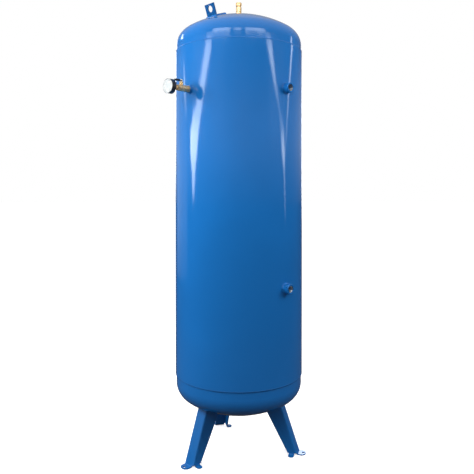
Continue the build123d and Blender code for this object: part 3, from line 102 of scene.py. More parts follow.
# ---------------------------------------------------------------- sizes of the added detail
BEAD_HEIGHT = 1.5 * MM
GIRTH_BEAD = 7.6 * MM
GIRTH_SET_BACK = 1.2 * MM
GIRTH_SLOPE = 0.9
SEAM_BEAD = 11.0 * MM
SOCKET_BEAD = 6.6 * MM
THREAD_PITCH = 2.31 * MM
THREAD_TURNS = 12.0
THREAD_DEPTH = 0.6 * MM
THREAD_RUN_OUT = 3.0 * MM
FIGURE_INSET = 10.2 * MM
SHEET_EDGE = 0.9 * MM
# darkening of the lugs' enamel against the vessel's: painted shade, as the lugs' faces get less light
LUG_PAINTED_SHADE = 0.5
TARNISH_LOSS = (0.74, 0.66, 0.6)

# ---------------------------------------------------------------- stage
FLOOR_RADIUS = 60.0
FLOOR_DROP = 0.5 * MM
SENSOR_WIDTH = 36.0
CAMERA_SHIFT = (-0.0037, -0.0966)


# ---------------------------------------------------------------- node trees as expressions
class Val:
    """An output socket; arithmetic on it adds Math nodes to its tree."""

    def __init__(self, tree, socket):
        self.tree = tree
        self.socket = socket

    def math(self, operation, *others, swap=False):
        sides = (self, *others)
        if swap:
            sides = (others[0], self)
        return self.tree.node("ShaderNodeMath", {"operation": operation}, dict(enumerate(sides)))

    def __add__(self, other):
        return self.math("ADD", other)

    def __radd__(self, other):
        return self.math("ADD", other)

    def __sub__(self, other):
        return self.math("SUBTRACT", other)

    def __rsub__(self, other):
        return self.math("SUBTRACT", other, swap=True)

    def __mul__(self, other):
        return self.math("MULTIPLY", other)

    def __rmul__(self, other):
        return self.math("MULTIPLY", other)

    def __truediv__(self, other):
        return self.math("DIVIDE", other)

    def __rtruediv__(self, other):
        return self.math("DIVIDE", other, swap=True)

    def step(self, low, high):
        """0 below low, 1 above high, smooth between."""
        return self.tree.node("ShaderNodeMapRange", {"interpolation_type": "SMOOTHSTEP"},
                              {"Value": self, "From Min": low, "From Max": high})


class Tree:
    """A node tree with one method for every node."""

    def __init__(self, node_tree):
        self.tree = node_tree

    def node(self, kind, settings=None, inputs=None, output=0):
        made = self.tree.nodes.new(kind)
        for key, value in (settings or {}).items():
            if key == "stops":
                ramp = made.color_ramp
                for place, colour in value:
                    stop = ramp.elements.new(place)
                    stop.color = (*colour, 1.0)
                ramp.elements.remove(ramp.elements[0])
                ramp.elements.remove(ramp.elements[-1])
            else:
                setattr(made, key, value)
        for key, value in (inputs or {}).items():
            if isinstance(value, Val):
                self.tree.links.new(value.socket, made.inputs[key])
            else:
                made.inputs[key].default_value = value
        return Val(self, made.outputs[output]) if len(made.outputs) else made

    def vector(self, operation, first, second, output=0):
        return self.node("ShaderNodeVectorMath", {"operation": operation}, {0: first, 1: second}, output)

    def blend(self, factor, first, second):
        return self.node("ShaderNodeMix", {"data_type": "RGBA"}, {0: factor, 6: first, 7: second}, 2)


class Finish(Tree):
    """A procedural material read in the piece's own coordinates."""

    def __init__(self, name):
        self.material = bpy.data.materials.new(name)
        self.material.use_nodes = True
        super().__init__(self.material.node_tree)
        self.tree.nodes.clear()
        self.place = self.node("ShaderNodeTexCoord", output="Object")

    def noise(self, scale, detail=2.0, roughness=0.5, stretch=None, distortion=0.0):
        place = self.place
        if stretch:
            place = self.node("ShaderNodeMapping", inputs={"Vector": place, "Scale": stretch})
        return self.node("ShaderNodeTexNoise", inputs={
            "Vector": place, "Scale": scale, "Detail": detail, "Roughness": roughness,
            "Distortion": distortion})

    def along(self, axis):
        """Distance along an axis, as a value."""
        return self.vector("DOT_PRODUCT", self.place, axis, "Value")

    def bump(self, height, depth, under=None):
        inputs = {"Height": height, "Distance": depth, "Strength": 1.0}
        if under:
            inputs["Normal"] = under
        return self.node("ShaderNodeBump", inputs=inputs)

    def rounded(self, radius):
        return self.node("ShaderNodeBevel", {"samples": 6}, {"Radius": radius})

    def surface(self, **sockets):
        names = {"base_color": "Base Color", "metallic": "Metallic", "roughness": "Roughness",
                 "normal": "Normal", "ior": "IOR"}
        inputs = {names[key]: value for key, value in sockets.items()}
        self.output(self.node("ShaderNodeBsdfPrincipled", inputs=inputs))

    def output(self, shader):
        for old in [n for n in self.tree.nodes if n.bl_idname == "ShaderNodeOutputMaterial"]:
            self.tree.nodes.remove(old)
        self.node("ShaderNodeOutputMaterial", inputs={"Surface": shader})


# ---------------------------------------------------------------- finishes
def rgba(colour):
    return (*colour[:3], 1.0)


def shade(colour, factor):
    return (*(c * factor for c in colour[:3]), 1.0)


def make_enamel(name, colour, wave, edge=0.0):
    """Sprayed gloss enamel: slow waves of the rolled sheet, orange peel, faint handling marks."""
    f = Finish(name)
    drift = f.noise(1.6, 3.0, 0.55)
    cloud = f.noise(14.0, 4.0, 0.6)
    tone = f.blend(drift.step(0.35, 0.65), shade(colour, 0.95), shade(colour, 1.05))
    dust = f.noise(900.0, 1.0, 0.5).step(0.74, 0.80)
    tone = f.blend(dust * 0.10, tone, (0.32, 0.45, 0.62, 1.0))
    wipe = f.noise(3.0, 5.0, 0.65, stretch=(1.0, 1.0, 0.35))
    rough = 0.075 + wipe.step(0.45, 0.75) * 0.05 + cloud.step(0.5, 0.8) * 0.03 + dust * 0.15
    under = f.rounded(edge) if edge else None
    waves = f.noise(3.4, 1.0, 0.4, stretch=(1.0, 1.0, 0.7))
    if wave:
        under = f.bump(waves, wave, under)
    peel = f.noise(420.0, 1.5, 0.5)
    lumps = f.noise(95.0, 2.0, 0.5)
    normal = f.bump(peel * 0.55 + lumps, 0.000045, under)
    f.surface(base_color=tone, roughness=rough, normal=normal, ior=1.5)
    return f.material


def make_painted_weld(name, colour):
    """Enamel over a rippled, slightly spattered weld."""
    f = Finish(name)
    spatter = f.noise(260.0, 2.0, 0.5).step(0.62, 0.72)
    tone = f.blend(f.noise(60.0, 3.0, 0.6), shade(colour, 0.86), shade(colour, 1.04))
    ripple = f.noise(240.0, 2.0, 0.55, distortion=0.4)
    coarse = f.noise(70.0, 2.0, 0.5)
    normal = f.bump(ripple * 0.6 + coarse + spatter * 0.5, 0.0005, f.rounded(1.2 * MM))
    rough = 0.12 + ripple * 0.10
    f.surface(base_color=tone, roughness=rough, normal=normal, ior=1.5)
    return f.material


def make_turned_brass(name, axis, colour, feed=3200.0):
    """Lathe-turned brass, slightly tarnished in patches, its edges rounded in shading."""
    f = Finish(name)
    groove = f.node("ShaderNodeTexNoise", {"noise_dimensions": "1D"},
                    {"W": f.along(axis), "Scale": feed, "Detail": 2.0})
    patches = f.noise(160.0, 4.0, 0.6)
    specks = f.noise(1800.0, 2.0, 0.6).step(0.62, 0.72)
    dull = patches.step(0.42, 0.70)
    tarnished = [c * loss for c, loss in zip(colour, TARNISH_LOSS)]
    tone = f.blend(dull, rgba(colour), rgba(tarnished))
    tone = f.blend(specks * 0.35, tone, (0.16, 0.09, 0.035, 1.0))
    rough = 0.20 + dull * 0.16 + groove * 0.08
    normal = f.bump(groove * 0.7 + patches * 0.6, 0.000035, f.rounded(0.45 * MM))
    f.surface(base_color=tone, metallic=0.62, roughness=rough, normal=normal)
    return f.material


def make_steel(name, colour, roughness, grain, edge=0.4 * MM):
    """Plated or bright steel with a fine crystalline grain."""
    f = Finish(name)
    spangle = f.noise(grain, 3.0, 0.6)
    film = f.noise(90.0, 3.0, 0.5)
    tone = f.blend(spangle.step(0.3, 0.7), shade(colour, 0.82), shade(colour, 1.08))
    tone = f.blend(film.step(0.55, 0.8) * 0.3, tone, (0.42, 0.38, 0.30, 1.0))
    rough = roughness + film * 0.12
    normal = f.bump(spangle, 0.00002, f.rounded(edge))
    f.surface(base_color=tone, metallic=1.0, roughness=rough, normal=normal)
    return f.material


def make_brushed_plate(name):
    """Aluminium plate brushed along its length, with handling marks."""
    f = Finish(name)
    along = (-sin(radians(PLATE_AZIMUTH)), cos(radians(PLATE_AZIMUTH)), 0.0)
    lengthwise = f.along(along)
    height = f.along((0.0, 0.0, 1.0))
    grain = f.node("ShaderNodeCombineXYZ", inputs={"X": lengthwise * 0.03, "Y": height})
    brush = f.node("ShaderNodeTexNoise", inputs={"Vector": grain, "Scale": 2600.0, "Detail": 4.0})
    smudge = f.noise(35.0, 4.0, 0.6)
    tone = f.blend(brush, (0.46, 0.47, 0.49, 1.0), (0.74, 0.75, 0.77, 1.0))
    rough = 0.26 + brush * 0.12 + smudge.step(0.5, 0.8) * 0.14
    normal = f.bump(brush, 0.000012, f.rounded(0.25 * MM))
    f.surface(base_color=tone, metallic=1.0, roughness=rough, normal=normal)
    return f.material


def make_moulded(name, colour, roughness, grain=1500.0, depth=0.00003, ior=1.5):
    """Moulded plastic or rubber with a fine spark-eroded texture."""
    f = Finish(name)
    skin = f.noise(grain, 2.0, 0.6)
    wear = f.noise(120.0, 4.0, 0.6)
    tone = f.blend(wear.step(0.4, 0.8), shade(colour, 0.9), shade(colour, 1.25))
    rough = roughness + wear.step(0.45, 0.8) * 0.10 - skin * 0.05
    f.surface(base_color=tone, roughness=rough, normal=f.bump(skin, depth, f.rounded(0.5 * MM)), ior=ior)
    return f.material


def make_printed(name, colour, roughness):
    """Print or lacquer on a flat face, with a faint mottle."""
    f = Finish(name)
    mottle = f.noise(700.0, 3.0, 0.6)
    tone = f.blend(mottle, shade(colour, 0.94), shade(colour, 1.02))
    f.surface(base_color=tone, roughness=roughness + mottle * 0.08, normal=f.bump(mottle, 0.000006))
    return f.material


def make_clear_window(name):
    """Clear moulded cover: see-through, glossy at its edges, faintly scuffed."""
    f = Finish(name)
    scuff = f.noise(420.0, 5.0, 0.7).step(0.62, 0.80)
    clear = f.node("ShaderNodeBsdfTransparent", inputs={"Color": (0.97, 0.98, 0.98, 1.0)})
    gloss = f.node("ShaderNodeBsdfPrincipled", inputs={
        "Base Color": (0.55, 0.57, 0.58, 1.0), "Roughness": 0.04 + scuff * 0.25,
        "Normal": f.bump(f.noise(60.0, 1.0, 0.4), 0.00004)})
    rim = f.node("ShaderNodeLayerWeight", inputs={"Blend": 0.22}, output="Fresnel")
    f.output(f.node("ShaderNodeMixShader", inputs={0: 0.05 + rim * 0.8 + scuff * 0.05, 1: clear, 2: gloss}))
    return f.material


def make_floor_finish(name):
    """Pale matt floor, dimmer to bounced light than to the eye."""
    f = Finish(name)
    grain = f.noise(60.0, 3.0, 0.6)
    pale = f.blend(grain, (0.90, 0.90, 0.90, 1.0), (0.94, 0.94, 0.94, 1.0))
    shown = f.node("ShaderNodeBsdfDiffuse", inputs={"Color": pale})
    glow = f.node("ShaderNodeEmission", inputs={"Color": (1.0, 1.0, 1.0, 1.0), "Strength": 0.55})
    bright = f.node("ShaderNodeAddShader", inputs={0: shown, 1: glow})
    bounce = f.node("ShaderNodeBsdfDiffuse", inputs={"Color": (0.07, 0.07, 0.075, 1.0)})
    seen = f.node("ShaderNodeLightPath", output="Is Camera Ray")
    f.output(f.node("ShaderNodeMixShader", inputs={0: seen, 1: bounce, 2: bright}))
    return f.material


# ---------------------------------------------------------------- growing pieces with geometry nodes
class Growth(Tree):
    """A geometry node tree with named inputs."""

    def __init__(self, name, sizes):
        group = bpy.data.node_groups.new(name, "GeometryNodeTree")
        super().__init__(group)
        group.interface.new_socket("Geometry", in_out="INPUT", socket_type="NodeSocketGeometry")
        for label, (kind, default) in sizes.items():
            socket = group.interface.new_socket(label, in_out="INPUT", socket_type="NodeSocket" + kind)
            if default is not None:
                socket.default_value = default
        group.interface.new_socket("Geometry", in_out="OUTPUT", socket_type="NodeSocketGeometry")
        self.entry = group.nodes.new("NodeGroupInput")

    def given(self, label):
        return Val(self, self.entry.outputs[label])

    def named(self, label, kind="FLOAT"):
        return self.node("GeometryNodeInputNamedAttribute", {"data_type": kind}, {"Name": label})

    def store(self, geometry, label, value):
        return self.node("GeometryNodeStoreNamedAttribute", {"data_type": "FLOAT", "domain": "POINT"},
                         {"Geometry": geometry, "Name": label, "Value": value})

    def finish(self, geometry):
        whole = self.node("GeometryNodeRealizeInstances", inputs={"Geometry": geometry})
        finished = self.node("GeometryNodeSetMaterial", inputs={
            "Geometry": whole, "Material": self.given("Material")})
        exit_node = self.tree.nodes.new("NodeGroupOutput")
        self.tree.links.new(finished.socket, exit_node.inputs[0])
        return self.tree


def link(name, data):
    """Put an object made of some data in the scene."""
    thing = bpy.data.objects.new(name, data)
    bpy.context.scene.collection.objects.link(thing)
    return thing


def mesh_of(work, name):
    """Turn a bmesh into a mesh and let the bmesh go."""
    mesh = bpy.data.meshes.new(name)
    work.to_mesh(mesh)
    work.free()
    return mesh


def grow(name, tree, seed, sizes):
    """Run a tree on a seed mesh and keep the result as a plain mesh object."""
    source = link(name + "_seed", seed)
    modifier = source.modifiers.new("grow", "NODES")
    modifier.node_group = tree
    for item in tree.interface.items_tree:
        if item.item_type == "SOCKET" and item.in_out == "INPUT" and item.name in sizes:
            modifier[item.identifier] = sizes[item.name]
    evaluated = source.evaluated_get(bpy.context.evaluated_depsgraph_get())
    mesh = bpy.data.meshes.new_from_object(evaluated)
    source.modifiers.remove(modifier)
    bpy.data.objects.remove(source)
    mesh.name = name
    piece = link(name, mesh)
    tidy_mesh(mesh)
    return piece


def tidy_mesh(mesh, merge=1e-6, smooth_angle=40.0):
    """Merge doubles, turn faces outward and shade smooth between sharp edges."""
    if not len(mesh.polygons):
        raise RuntimeError(mesh.name + " has no faces")
    work = bmesh.new()
    work.from_mesh(mesh)
    bmesh.ops.remove_doubles(work, verts=work.verts, dist=merge)
    bmesh.ops.recalc_face_normals(work, faces=work.faces)
    work.to_mesh(mesh)
    work.free()
    for label in ("facing", "along", "across"):
        attribute = mesh.attributes.get(label)
        if attribute:
            mesh.attributes.remove(attribute)
    mesh.shade_smooth()
    mesh.set_sharp_from_angle(angle=radians(smooth_angle))
    mesh.update()


def ripple_tree():
    """A weld bead swept along a path: a crowned section with crescent ripples."""
    g = Growth("ripple_bead", {
        "Bead width": ("Float", 0.008), "Bead height": ("Float", 0.002), "Root depth": ("Float", 0.0006),
        "Ripple pitch": ("Float", 0.004), "Ripple depth": ("Float", 0.0004), "Material": ("Material", None)})
    width, height, root = g.given("Bead width"), g.given("Bead height"), g.given("Root depth")
    pitch, depth = g.given("Ripple pitch"), g.given("Ripple depth")
    path = g.node("GeometryNodeMeshToCurve", inputs={"Mesh": g.given("Geometry")})
    path = g.node("GeometryNodeResampleCurve", {"mode": "LENGTH"}, {"Curve": path, "Length": pitch / 5.0})
    path = g.store(path, "along", g.node("GeometryNodeSplineParameter", output="Length"))
    path = g.node("GeometryNodeSetCurveNormal", {"mode": "FREE"}, {
        "Curve": path, "Normal": g.named("facing", "FLOAT_VECTOR")})
    start = g.node("ShaderNodeCombineXYZ", inputs={"X": root * -1.0, "Y": width * -0.5})
    end = g.node("ShaderNodeCombineXYZ", inputs={"X": root * -1.0, "Y": width * 0.5})
    crown = g.node("ShaderNodeCombineXYZ", inputs={"X": height * 2.0 + root})
    section = g.node("GeometryNodeCurveQuadraticBezier", inputs={
        "Resolution": 8, "Start": start, "Middle": crown, "End": end})
    section = g.store(section, "across", g.node("GeometryNodeSplineParameter", output="Factor"))
    section = g.node("GeometryNodeSetSplineCyclic", inputs={"Geometry": section, "Cyclic": True})
    bead = g.node("GeometryNodeCurveToMesh", inputs={
        "Curve": path, "Profile Curve": section, "Fill Caps": True})
    across = g.named("across")
    off_centre = across * 2.0 - 1.0
    phase = (g.named("along") / pitch + off_centre * off_centre * 0.9).math("FRACT")
    crest = (phase * pi).math("SINE")
    bulge = across * (1.0 - across) * 4.0
    dip = (1.0 - crest) * bulge * depth * -1.0
    offset = g.node("ShaderNodeVectorMath", {"operation": "SCALE"}, {
        0: g.named("facing", "FLOAT_VECTOR"), "Scale": dip})
    bead = g.node("GeometryNodeSetPosition", inputs={"Geometry": bead, "Offset": offset})
    return g.finish(bead)


def tick_tree():
    """Marks set round part of a dial."""
    g = Growth("dial_marks", {
        "Marks": ("Int", 9), "Start": ("Float", 3.9), "Sweep": ("Float", 4.7), "Radius": ("Float", 0.02),
        "Mark length": ("Float", 0.003), "Mark width": ("Float", 0.0005), "Mark thickness": ("Float", 0.0001),
        "Material": ("Material", None)})
    marks = g.given("Marks")
    index = g.node("GeometryNodeInputIndex")
    angle = g.given("Start") - index / (marks - 1.0) * g.given("Sweep")
    radius = g.given("Radius")
    place = g.node("ShaderNodeCombineXYZ", inputs={
        "X": angle.math("COSINE") * radius, "Y": angle.math("SINE") * radius})
    points = g.node("GeometryNodePoints", inputs={"Count": marks, "Position": place})
    size = g.node("ShaderNodeCombineXYZ", inputs={
        "X": g.given("Mark length"), "Y": g.given("Mark width"), "Z": g.given("Mark thickness")})
    mark = g.node("GeometryNodeMeshCube", inputs={"Size": size})
    turned = g.node("ShaderNodeCombineXYZ", inputs={"Z": angle})
    marked = g.node("GeometryNodeInstanceOnPoints", inputs={
        "Points": points, "Instance": mark, "Rotation": turned})
    return g.finish(marked)


def thread_tree():
    """A rising ridge with a V section, for an internal thread."""
    g = Growth("thread_ridge", {
        "Turns": ("Float", 10.0), "Pitch": ("Float", 0.0023), "Radius": ("Float", 0.015),
        "Depth": ("Float", 0.0005), "Material": ("Material", None)})
    turns, pitch, depth = g.given("Turns"), g.given("Pitch"), g.given("Depth")
    path = g.node("GeometryNodeCurveSpiral", inputs={
        "Resolution": 40, "Rotations": turns, "Start Radius": g.given("Radius"),
        "End Radius": g.given("Radius"), "Height": turns * pitch})
    path = g.node("GeometryNodeSetCurveNormal", {"mode": "Z_UP"}, {"Curve": path})
    half = pitch * 0.42
    section = g.node("GeometryNodeCurvePrimitiveCircle", inputs={"Resolution": 4, "Radius": 1.0})
    size = g.node("ShaderNodeCombineXYZ", inputs={"X": depth, "Y": half, "Z": 1.0})
    section = g.node("GeometryNodeTransform", inputs={"Geometry": section, "Scale": size})
    ridge = g.node("GeometryNodeCurveToMesh", inputs={
        "Curve": path, "Profile Curve": section, "Fill Caps": True})
    return g.finish(ridge)


def knurl_tree():
    """Rounded ribs set round a grip."""
    g = Growth("grip_ribs", {
        "Ribs": ("Int", 40), "Radius": ("Float", 0.0135), "Rib width": ("Float", 0.0012),
        "Rib depth": ("Float", 0.0005), "Rib length": ("Float", 0.01), "Material": ("Material", None)})
    ribs, radius = g.given("Ribs"), g.given("Radius")
    angle = g.node("GeometryNodeInputIndex") / ribs * tau
    place = g.node("ShaderNodeCombineXYZ", inputs={
        "X": angle.math("COSINE") * radius, "Y": angle.math("SINE") * radius})
    points = g.node("GeometryNodePoints", inputs={"Count": ribs, "Position": place})
    ball = g.node("GeometryNodeMeshUVSphere", inputs={"Segments": 8, "Rings": 6, "Radius": 0.5})
    size = g.node("ShaderNodeCombineXYZ", inputs={
        "X": g.given("Rib depth") * 2.0, "Y": g.given("Rib width"), "Z": g.given("Rib length")})
    rib = g.node("GeometryNodeTransform", inputs={"Geometry": ball, "Scale": size})
    turned = g.node("ShaderNodeCombineXYZ", inputs={"Z": angle})
    set_round = g.node("GeometryNodeInstanceOnPoints", inputs={
        "Points": points, "Instance": rib, "Rotation": turned})
    return g.finish(set_round)


# ---------------------------------------------------------------- paths and planes
def outward(azimuth):
    return Vector((cos(radians(azimuth)), sin(radians(azimuth)), 0.0))


def radial_frame(azimuth, distance, height):
    """x tangential, y up, z out from the centre line."""
    out = outward(azimuth)
    across = Vector((-out.y, out.x, 0.0))
    turn = Matrix((across, Vector((0.0, 0.0, 1.0)), out)).transposed().to_4x4()
    return Matrix.Translation(out * distance + Vector((0.0, 0.0, height))) @ turn


def path_mesh(name, runs):
    """Edges along each run of (point, facing) pairs; a run may be closed."""
    points, facings, edges = [], [], []
    for run, closed in runs:
        first = len(points)
        points += [p for p, _ in run]
        facings += [f.normalized() for _, f in run]
        edges += [(first + i, first + i + 1) for i in range(len(run) - 1)]
        if closed:
            edges.append((first + len(run) - 1, first))
    mesh = bpy.data.meshes.new(name)
    mesh.from_pydata(points, edges, [])
    attribute = mesh.attributes.new("facing", "FLOAT_VECTOR", "POINT")
    attribute.data.foreach_set("vector", [c for f in facings for c in f])
    return mesh


def girth_run(height, rise):
    """Corner between a head and the edge of the shell, facing out along the fillet."""
    middle = (HEAD_RADIUS + SHELL_RADIUS) / 2
    steps = 360
    run = []
    for i in range(steps):
        out = outward(360.0 * i / steps)
        run.append((out * middle + Vector((0, 0, height)), out + Vector((0, 0, rise))))
    return run, True


def shell_socket_run(azimuth, height, radius, lift):
    """Corner between a round socket and the shell, following the shell's curve."""
    place = radial_frame(azimuth, 0.0, height)
    steps = 96
    run = []
    for i in range(steps):
        angle = tau * i / steps
        x, y = cos(angle) * radius, sin(angle) * radius
        depth = sqrt(SHELL_RADIUS ** 2 - x ** 2)
        point = place @ Vector((x, y, depth + lift))
        normal = Vector((point.x, point.y, 0.0)).normalized()
        side = place.to_3x3() @ Vector((cos(angle), sin(angle), 0.0))
        run.append((point, normal + side))
    return run, True


def pole_socket_run(pole, sign, radius, lift):
    drop = CROWN_RADIUS - sqrt(CROWN_RADIUS ** 2 - radius ** 2)
    steps = 72
    run = []
    for i in range(steps):
        out = outward(360.0 * i / steps)
        point = out * radius + Vector((0, 0, pole + sign * (lift - drop)))
        run.append((point, out + Vector((0, 0, sign))))
    return run, True


# ---------------------------------------------------------------- settings a user would change
class ReceiverSettings(bpy.types.PropertyGroup):
    paint: bpy.props.FloatVectorProperty(
        name="Paint", description="Colour of the gloss enamel", subtype="COLOR", size=3, min=0.0, max=1.0,
        default=(0.0085, 0.135, 0.425))
    brass: bpy.props.FloatVectorProperty(
        name="Brass", description="Colour of the turned brass", subtype="COLOR", size=3, min=0.0, max=1.0,
        default=(0.90, 0.62, 0.30))
    sheet_wave: bpy.props.FloatProperty(
        name="Sheet wave", description="Depth of the slow waves in the rolled shell", subtype="DISTANCE",
        unit="LENGTH", default=1.3 * MM, min=0.0)
    ripple_pitch: bpy.props.FloatProperty(
        name="Ripple pitch", description="Distance between weld ripples", subtype="DISTANCE",
        unit="LENGTH", default=4.2 * MM, min=1.0 * MM)
    ripple_depth: bpy.props.FloatProperty(
        name="Ripple depth", description="Depth of the hollows between weld ripples", subtype="DISTANCE",
        unit="LENGTH", default=0.55 * MM, min=0.0)


class DialSettings(bpy.types.PropertyGroup):
    divisions: bpy.props.IntProperty(
        name="Divisions", description="Small divisions over the whole scale", default=32, min=4)
    numbers: bpy.props.IntProperty(
        name="Numbers", description="Count of numbered marks on the scale", default=5, min=2)
    figure_height: bpy.props.FloatProperty(
        name="Figure height", description="Height of the figures on the dial", subtype="DISTANCE",
        unit="LENGTH", default=4.4 * MM, min=1.0 * MM)


class StageSettings(bpy.types.PropertyGroup):
    camera_azimuth: bpy.props.FloatProperty(
        name="Camera azimuth", description="Direction of the camera seen from the vessel", subtype="ANGLE",
        unit="ROTATION", default=radians(256.0))
    camera_distance: bpy.props.FloatProperty(
        name="Camera distance", description="Distance of the camera from the centre line",
        subtype="DISTANCE", unit="LENGTH", default=2.66, min=0.5)
    camera_height: bpy.props.FloatProperty(
        name="Camera height", description="Height of the camera above the floor", subtype="DISTANCE",
        unit="LENGTH", default=1.230, min=0.0)
    lens: bpy.props.FloatProperty(
        name="Lens", description="Focal length in millimetres", default=42.23, min=10.0)


def settings():
    return bpy.context.scene.receiver


# ---------------------------------------------------------------- operators
FINISHES = {}


def coat(node, finish):
    """Give every slot of a CAD node one of the finishes."""
    thing = frame["nodes"][node]
    if not thing.material_slots:
        thing.data.materials.append(FINISHES[finish])
    for place in thing.material_slots:
        place.material = FINISHES[finish]


# colour, roughness and, for steel and mouldings, the scale of the grain
STEELS = {
    "ball_chrome": ((0.74, 0.76, 0.78), 0.08, 300.0),
    "zinc_steel": ((0.62, 0.64, 0.66), 0.28, 900.0),
    "spring_steel": ((0.40, 0.41, 0.42), 0.30, 1200.0),
    "rivet_aluminium": ((0.72, 0.73, 0.74), 0.30, 1400.0),
}
MOULDED = {
    "seat_plastic": ((0.78, 0.77, 0.73), 0.38),
    "seal_rubber": ((0.018, 0.018, 0.019), 0.62),
    "sleeve_plastic": ((0.016, 0.016, 0.018), 0.30, 900.0),
    "case_plastic": ((0.014, 0.014, 0.015), 0.34, 1600.0),
}
PRINTED = {
    "dial_enamel": ((0.80, 0.80, 0.78), 0.35),
    "pointer_lacquer": ((0.012, 0.012, 0.013), 0.32),
    "dial_ink": ((0.015, 0.015, 0.017), 0.40),
}
NODE_FINISHES = {
    "vessel_enamel": ("shell", "top_head", "bottom_head"),
    "sheet_enamel": ("leg_front_left", "leg_front_right", "leg_rear", "plate_bracket", "gauge_socket",
                     "upper_side_socket", "lower_side_socket", "safety_valve_socket", "drain_socket"),
    # the lugs' enamel is the vessel paint darkened: painted shade
    "lug_enamel": ("lifting_lug_front", "lifting_lug_rear"),
    "painted_weld": ("top_girth_weld", "bottom_girth_weld", "shell_seam_weld", "socket_welds", "lug_welds",
                     "leg_front_left_weld", "leg_front_right_weld", "leg_rear_weld"),
    "brushed_plate": ("data_plate",),
    "rivet_aluminium": ("plate_rivets",),
    "gauge_line_brass": ("cock_body", "cock_end", "gauge_stem", "movement_plates", "gauge_sector",
                         "gauge_link", "gauge_pinion", "bourdon_tube"),
    "upright_brass": ("gland_nut", "cock_stem", "safety_valve_body", "safety_valve_adjuster",
                      "safety_valve_cap", "safety_valve_disc", "safety_valve_stem", "drain_body",
                      "drain_screw"),
    "ball_chrome": ("cock_ball",),
    "zinc_steel": ("cock_lever", "lever_nut", "safety_valve_washer"),
    "spring_steel": ("safety_valve_spring",),
    "seat_plastic": ("cock_seats",),
    "seal_rubber": ("stem_packing", "drain_seal"),
    "sleeve_plastic": ("lever_sleeve",),
    "case_plastic": ("gauge_case",),
    "clear_window": ("gauge_window",),
    "dial_enamel": ("gauge_dial",),
    "pointer_lacquer": ("gauge_pointer",),
}


class RECEIVER_OT_finishes(bpy.types.Operator):
    """Make every finish and give it to the CAD pieces."""
    bl_idname = "receiver.finishes"
    bl_label = "Finishes"

    def execute(self, context):
        chosen = settings()
        paint, brass = rgba(chosen.paint), rgba(chosen.brass)
        line = outward(GAUGE_AZIMUTH)
        FINISHES["vessel_enamel"] = make_enamel("vessel_enamel", paint, chosen.sheet_wave)
        small_wave = chosen.sheet_wave * 0.4
        FINISHES["sheet_enamel"] = make_enamel("sheet_enamel", paint, small_wave, SHEET_EDGE)
        # lug enamel is the same paint made darker: painted shade standing for lug faces turned from the light
        FINISHES["lug_enamel"] = make_enamel("lug_enamel", shade(paint, LUG_PAINTED_SHADE), small_wave, SHEET_EDGE)
        FINISHES["painted_weld"] = make_painted_weld("painted_weld", paint)
        FINISHES["gauge_line_brass"] = make_turned_brass("gauge_line_brass", tuple(line), brass)
        FINISHES["upright_brass"] = make_turned_brass("upright_brass", (0.0, 0.0, 1.0), brass)
        FINISHES["brushed_plate"] = make_brushed_plate("brushed_plate")
        FINISHES["clear_window"] = make_clear_window("clear_window")
        for make, table in ((make_steel, STEELS), (make_moulded, MOULDED), (make_printed, PRINTED)):
            for name, values in table.items():
                FINISHES[name] = make(name, *values)
        given = set()
        for finish, nodes in NODE_FINISHES.items():
            for node in nodes:
                coat(node, finish)
                given.add(node)
        missing = set(frame["nodes"]) - given
        if missing:
            raise RuntimeError("no finish for " + ", ".join(sorted(missing)))
        return {"FINISHED"}


def place_piece(piece, body, slot, *nodes):
    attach(piece, body)
    if nodes:
        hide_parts(*nodes)


def lay_bead(name, runs, width, height, *nodes):
    """A rippled bead along the runs, standing for the CAD weld."""
    chosen = settings()
    piece = grow(name, ripple_tree(), path_mesh(name + "_path", runs), {
        "Bead width": width, "Bead height": height, "Ripple pitch": chosen.ripple_pitch,
        "Ripple depth": chosen.ripple_depth, "Material": FINISHES["painted_weld"]})
    place_piece(piece, "tank", "painted_weld", *nodes)
    return piece


class RECEIVER_OT_girth_welds(bpy.types.Operator):
    """Lay the rippled beads where the heads meet the shell."""
    bl_idname = "receiver.girth_welds"
    bl_label = "Girth welds"

    def execute(self, context):
        top = girth_run(SHELL_HIGH + GIRTH_SET_BACK, GIRTH_SLOPE)
        bottom = girth_run(SHELL_LOW - GIRTH_SET_BACK, -GIRTH_SLOPE)
        lay_bead("top_girth_bead", [top], GIRTH_BEAD, BEAD_HEIGHT, "top_girth_weld")
        lay_bead("bottom_girth_bead", [bottom], GIRTH_BEAD, BEAD_HEIGHT, "bottom_girth_weld")
        return {"FINISHED"}


class RECEIVER_OT_seam_weld(bpy.types.Operator):
    """Lay the rippled bead of the shell's lengthwise joint."""
    bl_idname = "receiver.seam_weld"
    bl_label = "Seam weld"

    def execute(self, context):
        out = outward(SEAM_AZIMUTH)
        margin = 6.0 * MM
        steps = 40
        low, high = SHELL_LOW + margin, SHELL_HIGH - margin
        run = []
        for i in range(steps + 1):
            height = low + (high - low) * i / steps
            run.append((out * SHELL_RADIUS + Vector((0, 0, height)), out))
        lay_bead("seam_bead", [(run, False)], SEAM_BEAD, BEAD_HEIGHT, "shell_seam_weld")
        return {"FINISHED"}


class RECEIVER_OT_socket_welds(bpy.types.Operator):
    """Lay the rippled beads round the five sockets."""
    bl_idname = "receiver.socket_welds"
    bl_label = "Socket welds"

    def execute(self, context):
        stand = 1.6 * MM
        runs = [shell_socket_run(GAUGE_AZIMUTH, GAUGE_Z, SMALL_SOCKET_RADIUS + stand, stand)]
        runs += [shell_socket_run(SIDE_AZIMUTH, z, SIDE_SOCKET_RADIUS + stand, stand) for z in SIDE_HEIGHTS]
        runs.append(pole_socket_run(TOP_POLE, 1, SMALL_SOCKET_RADIUS + stand, stand))
        runs.append(pole_socket_run(BOTTOM_POLE, -1, SMALL_SOCKET_RADIUS + stand, stand))
        lay_bead("socket_beads", runs, SOCKET_BEAD, BEAD_HEIGHT, "socket_welds")
        return {"FINISHED"}


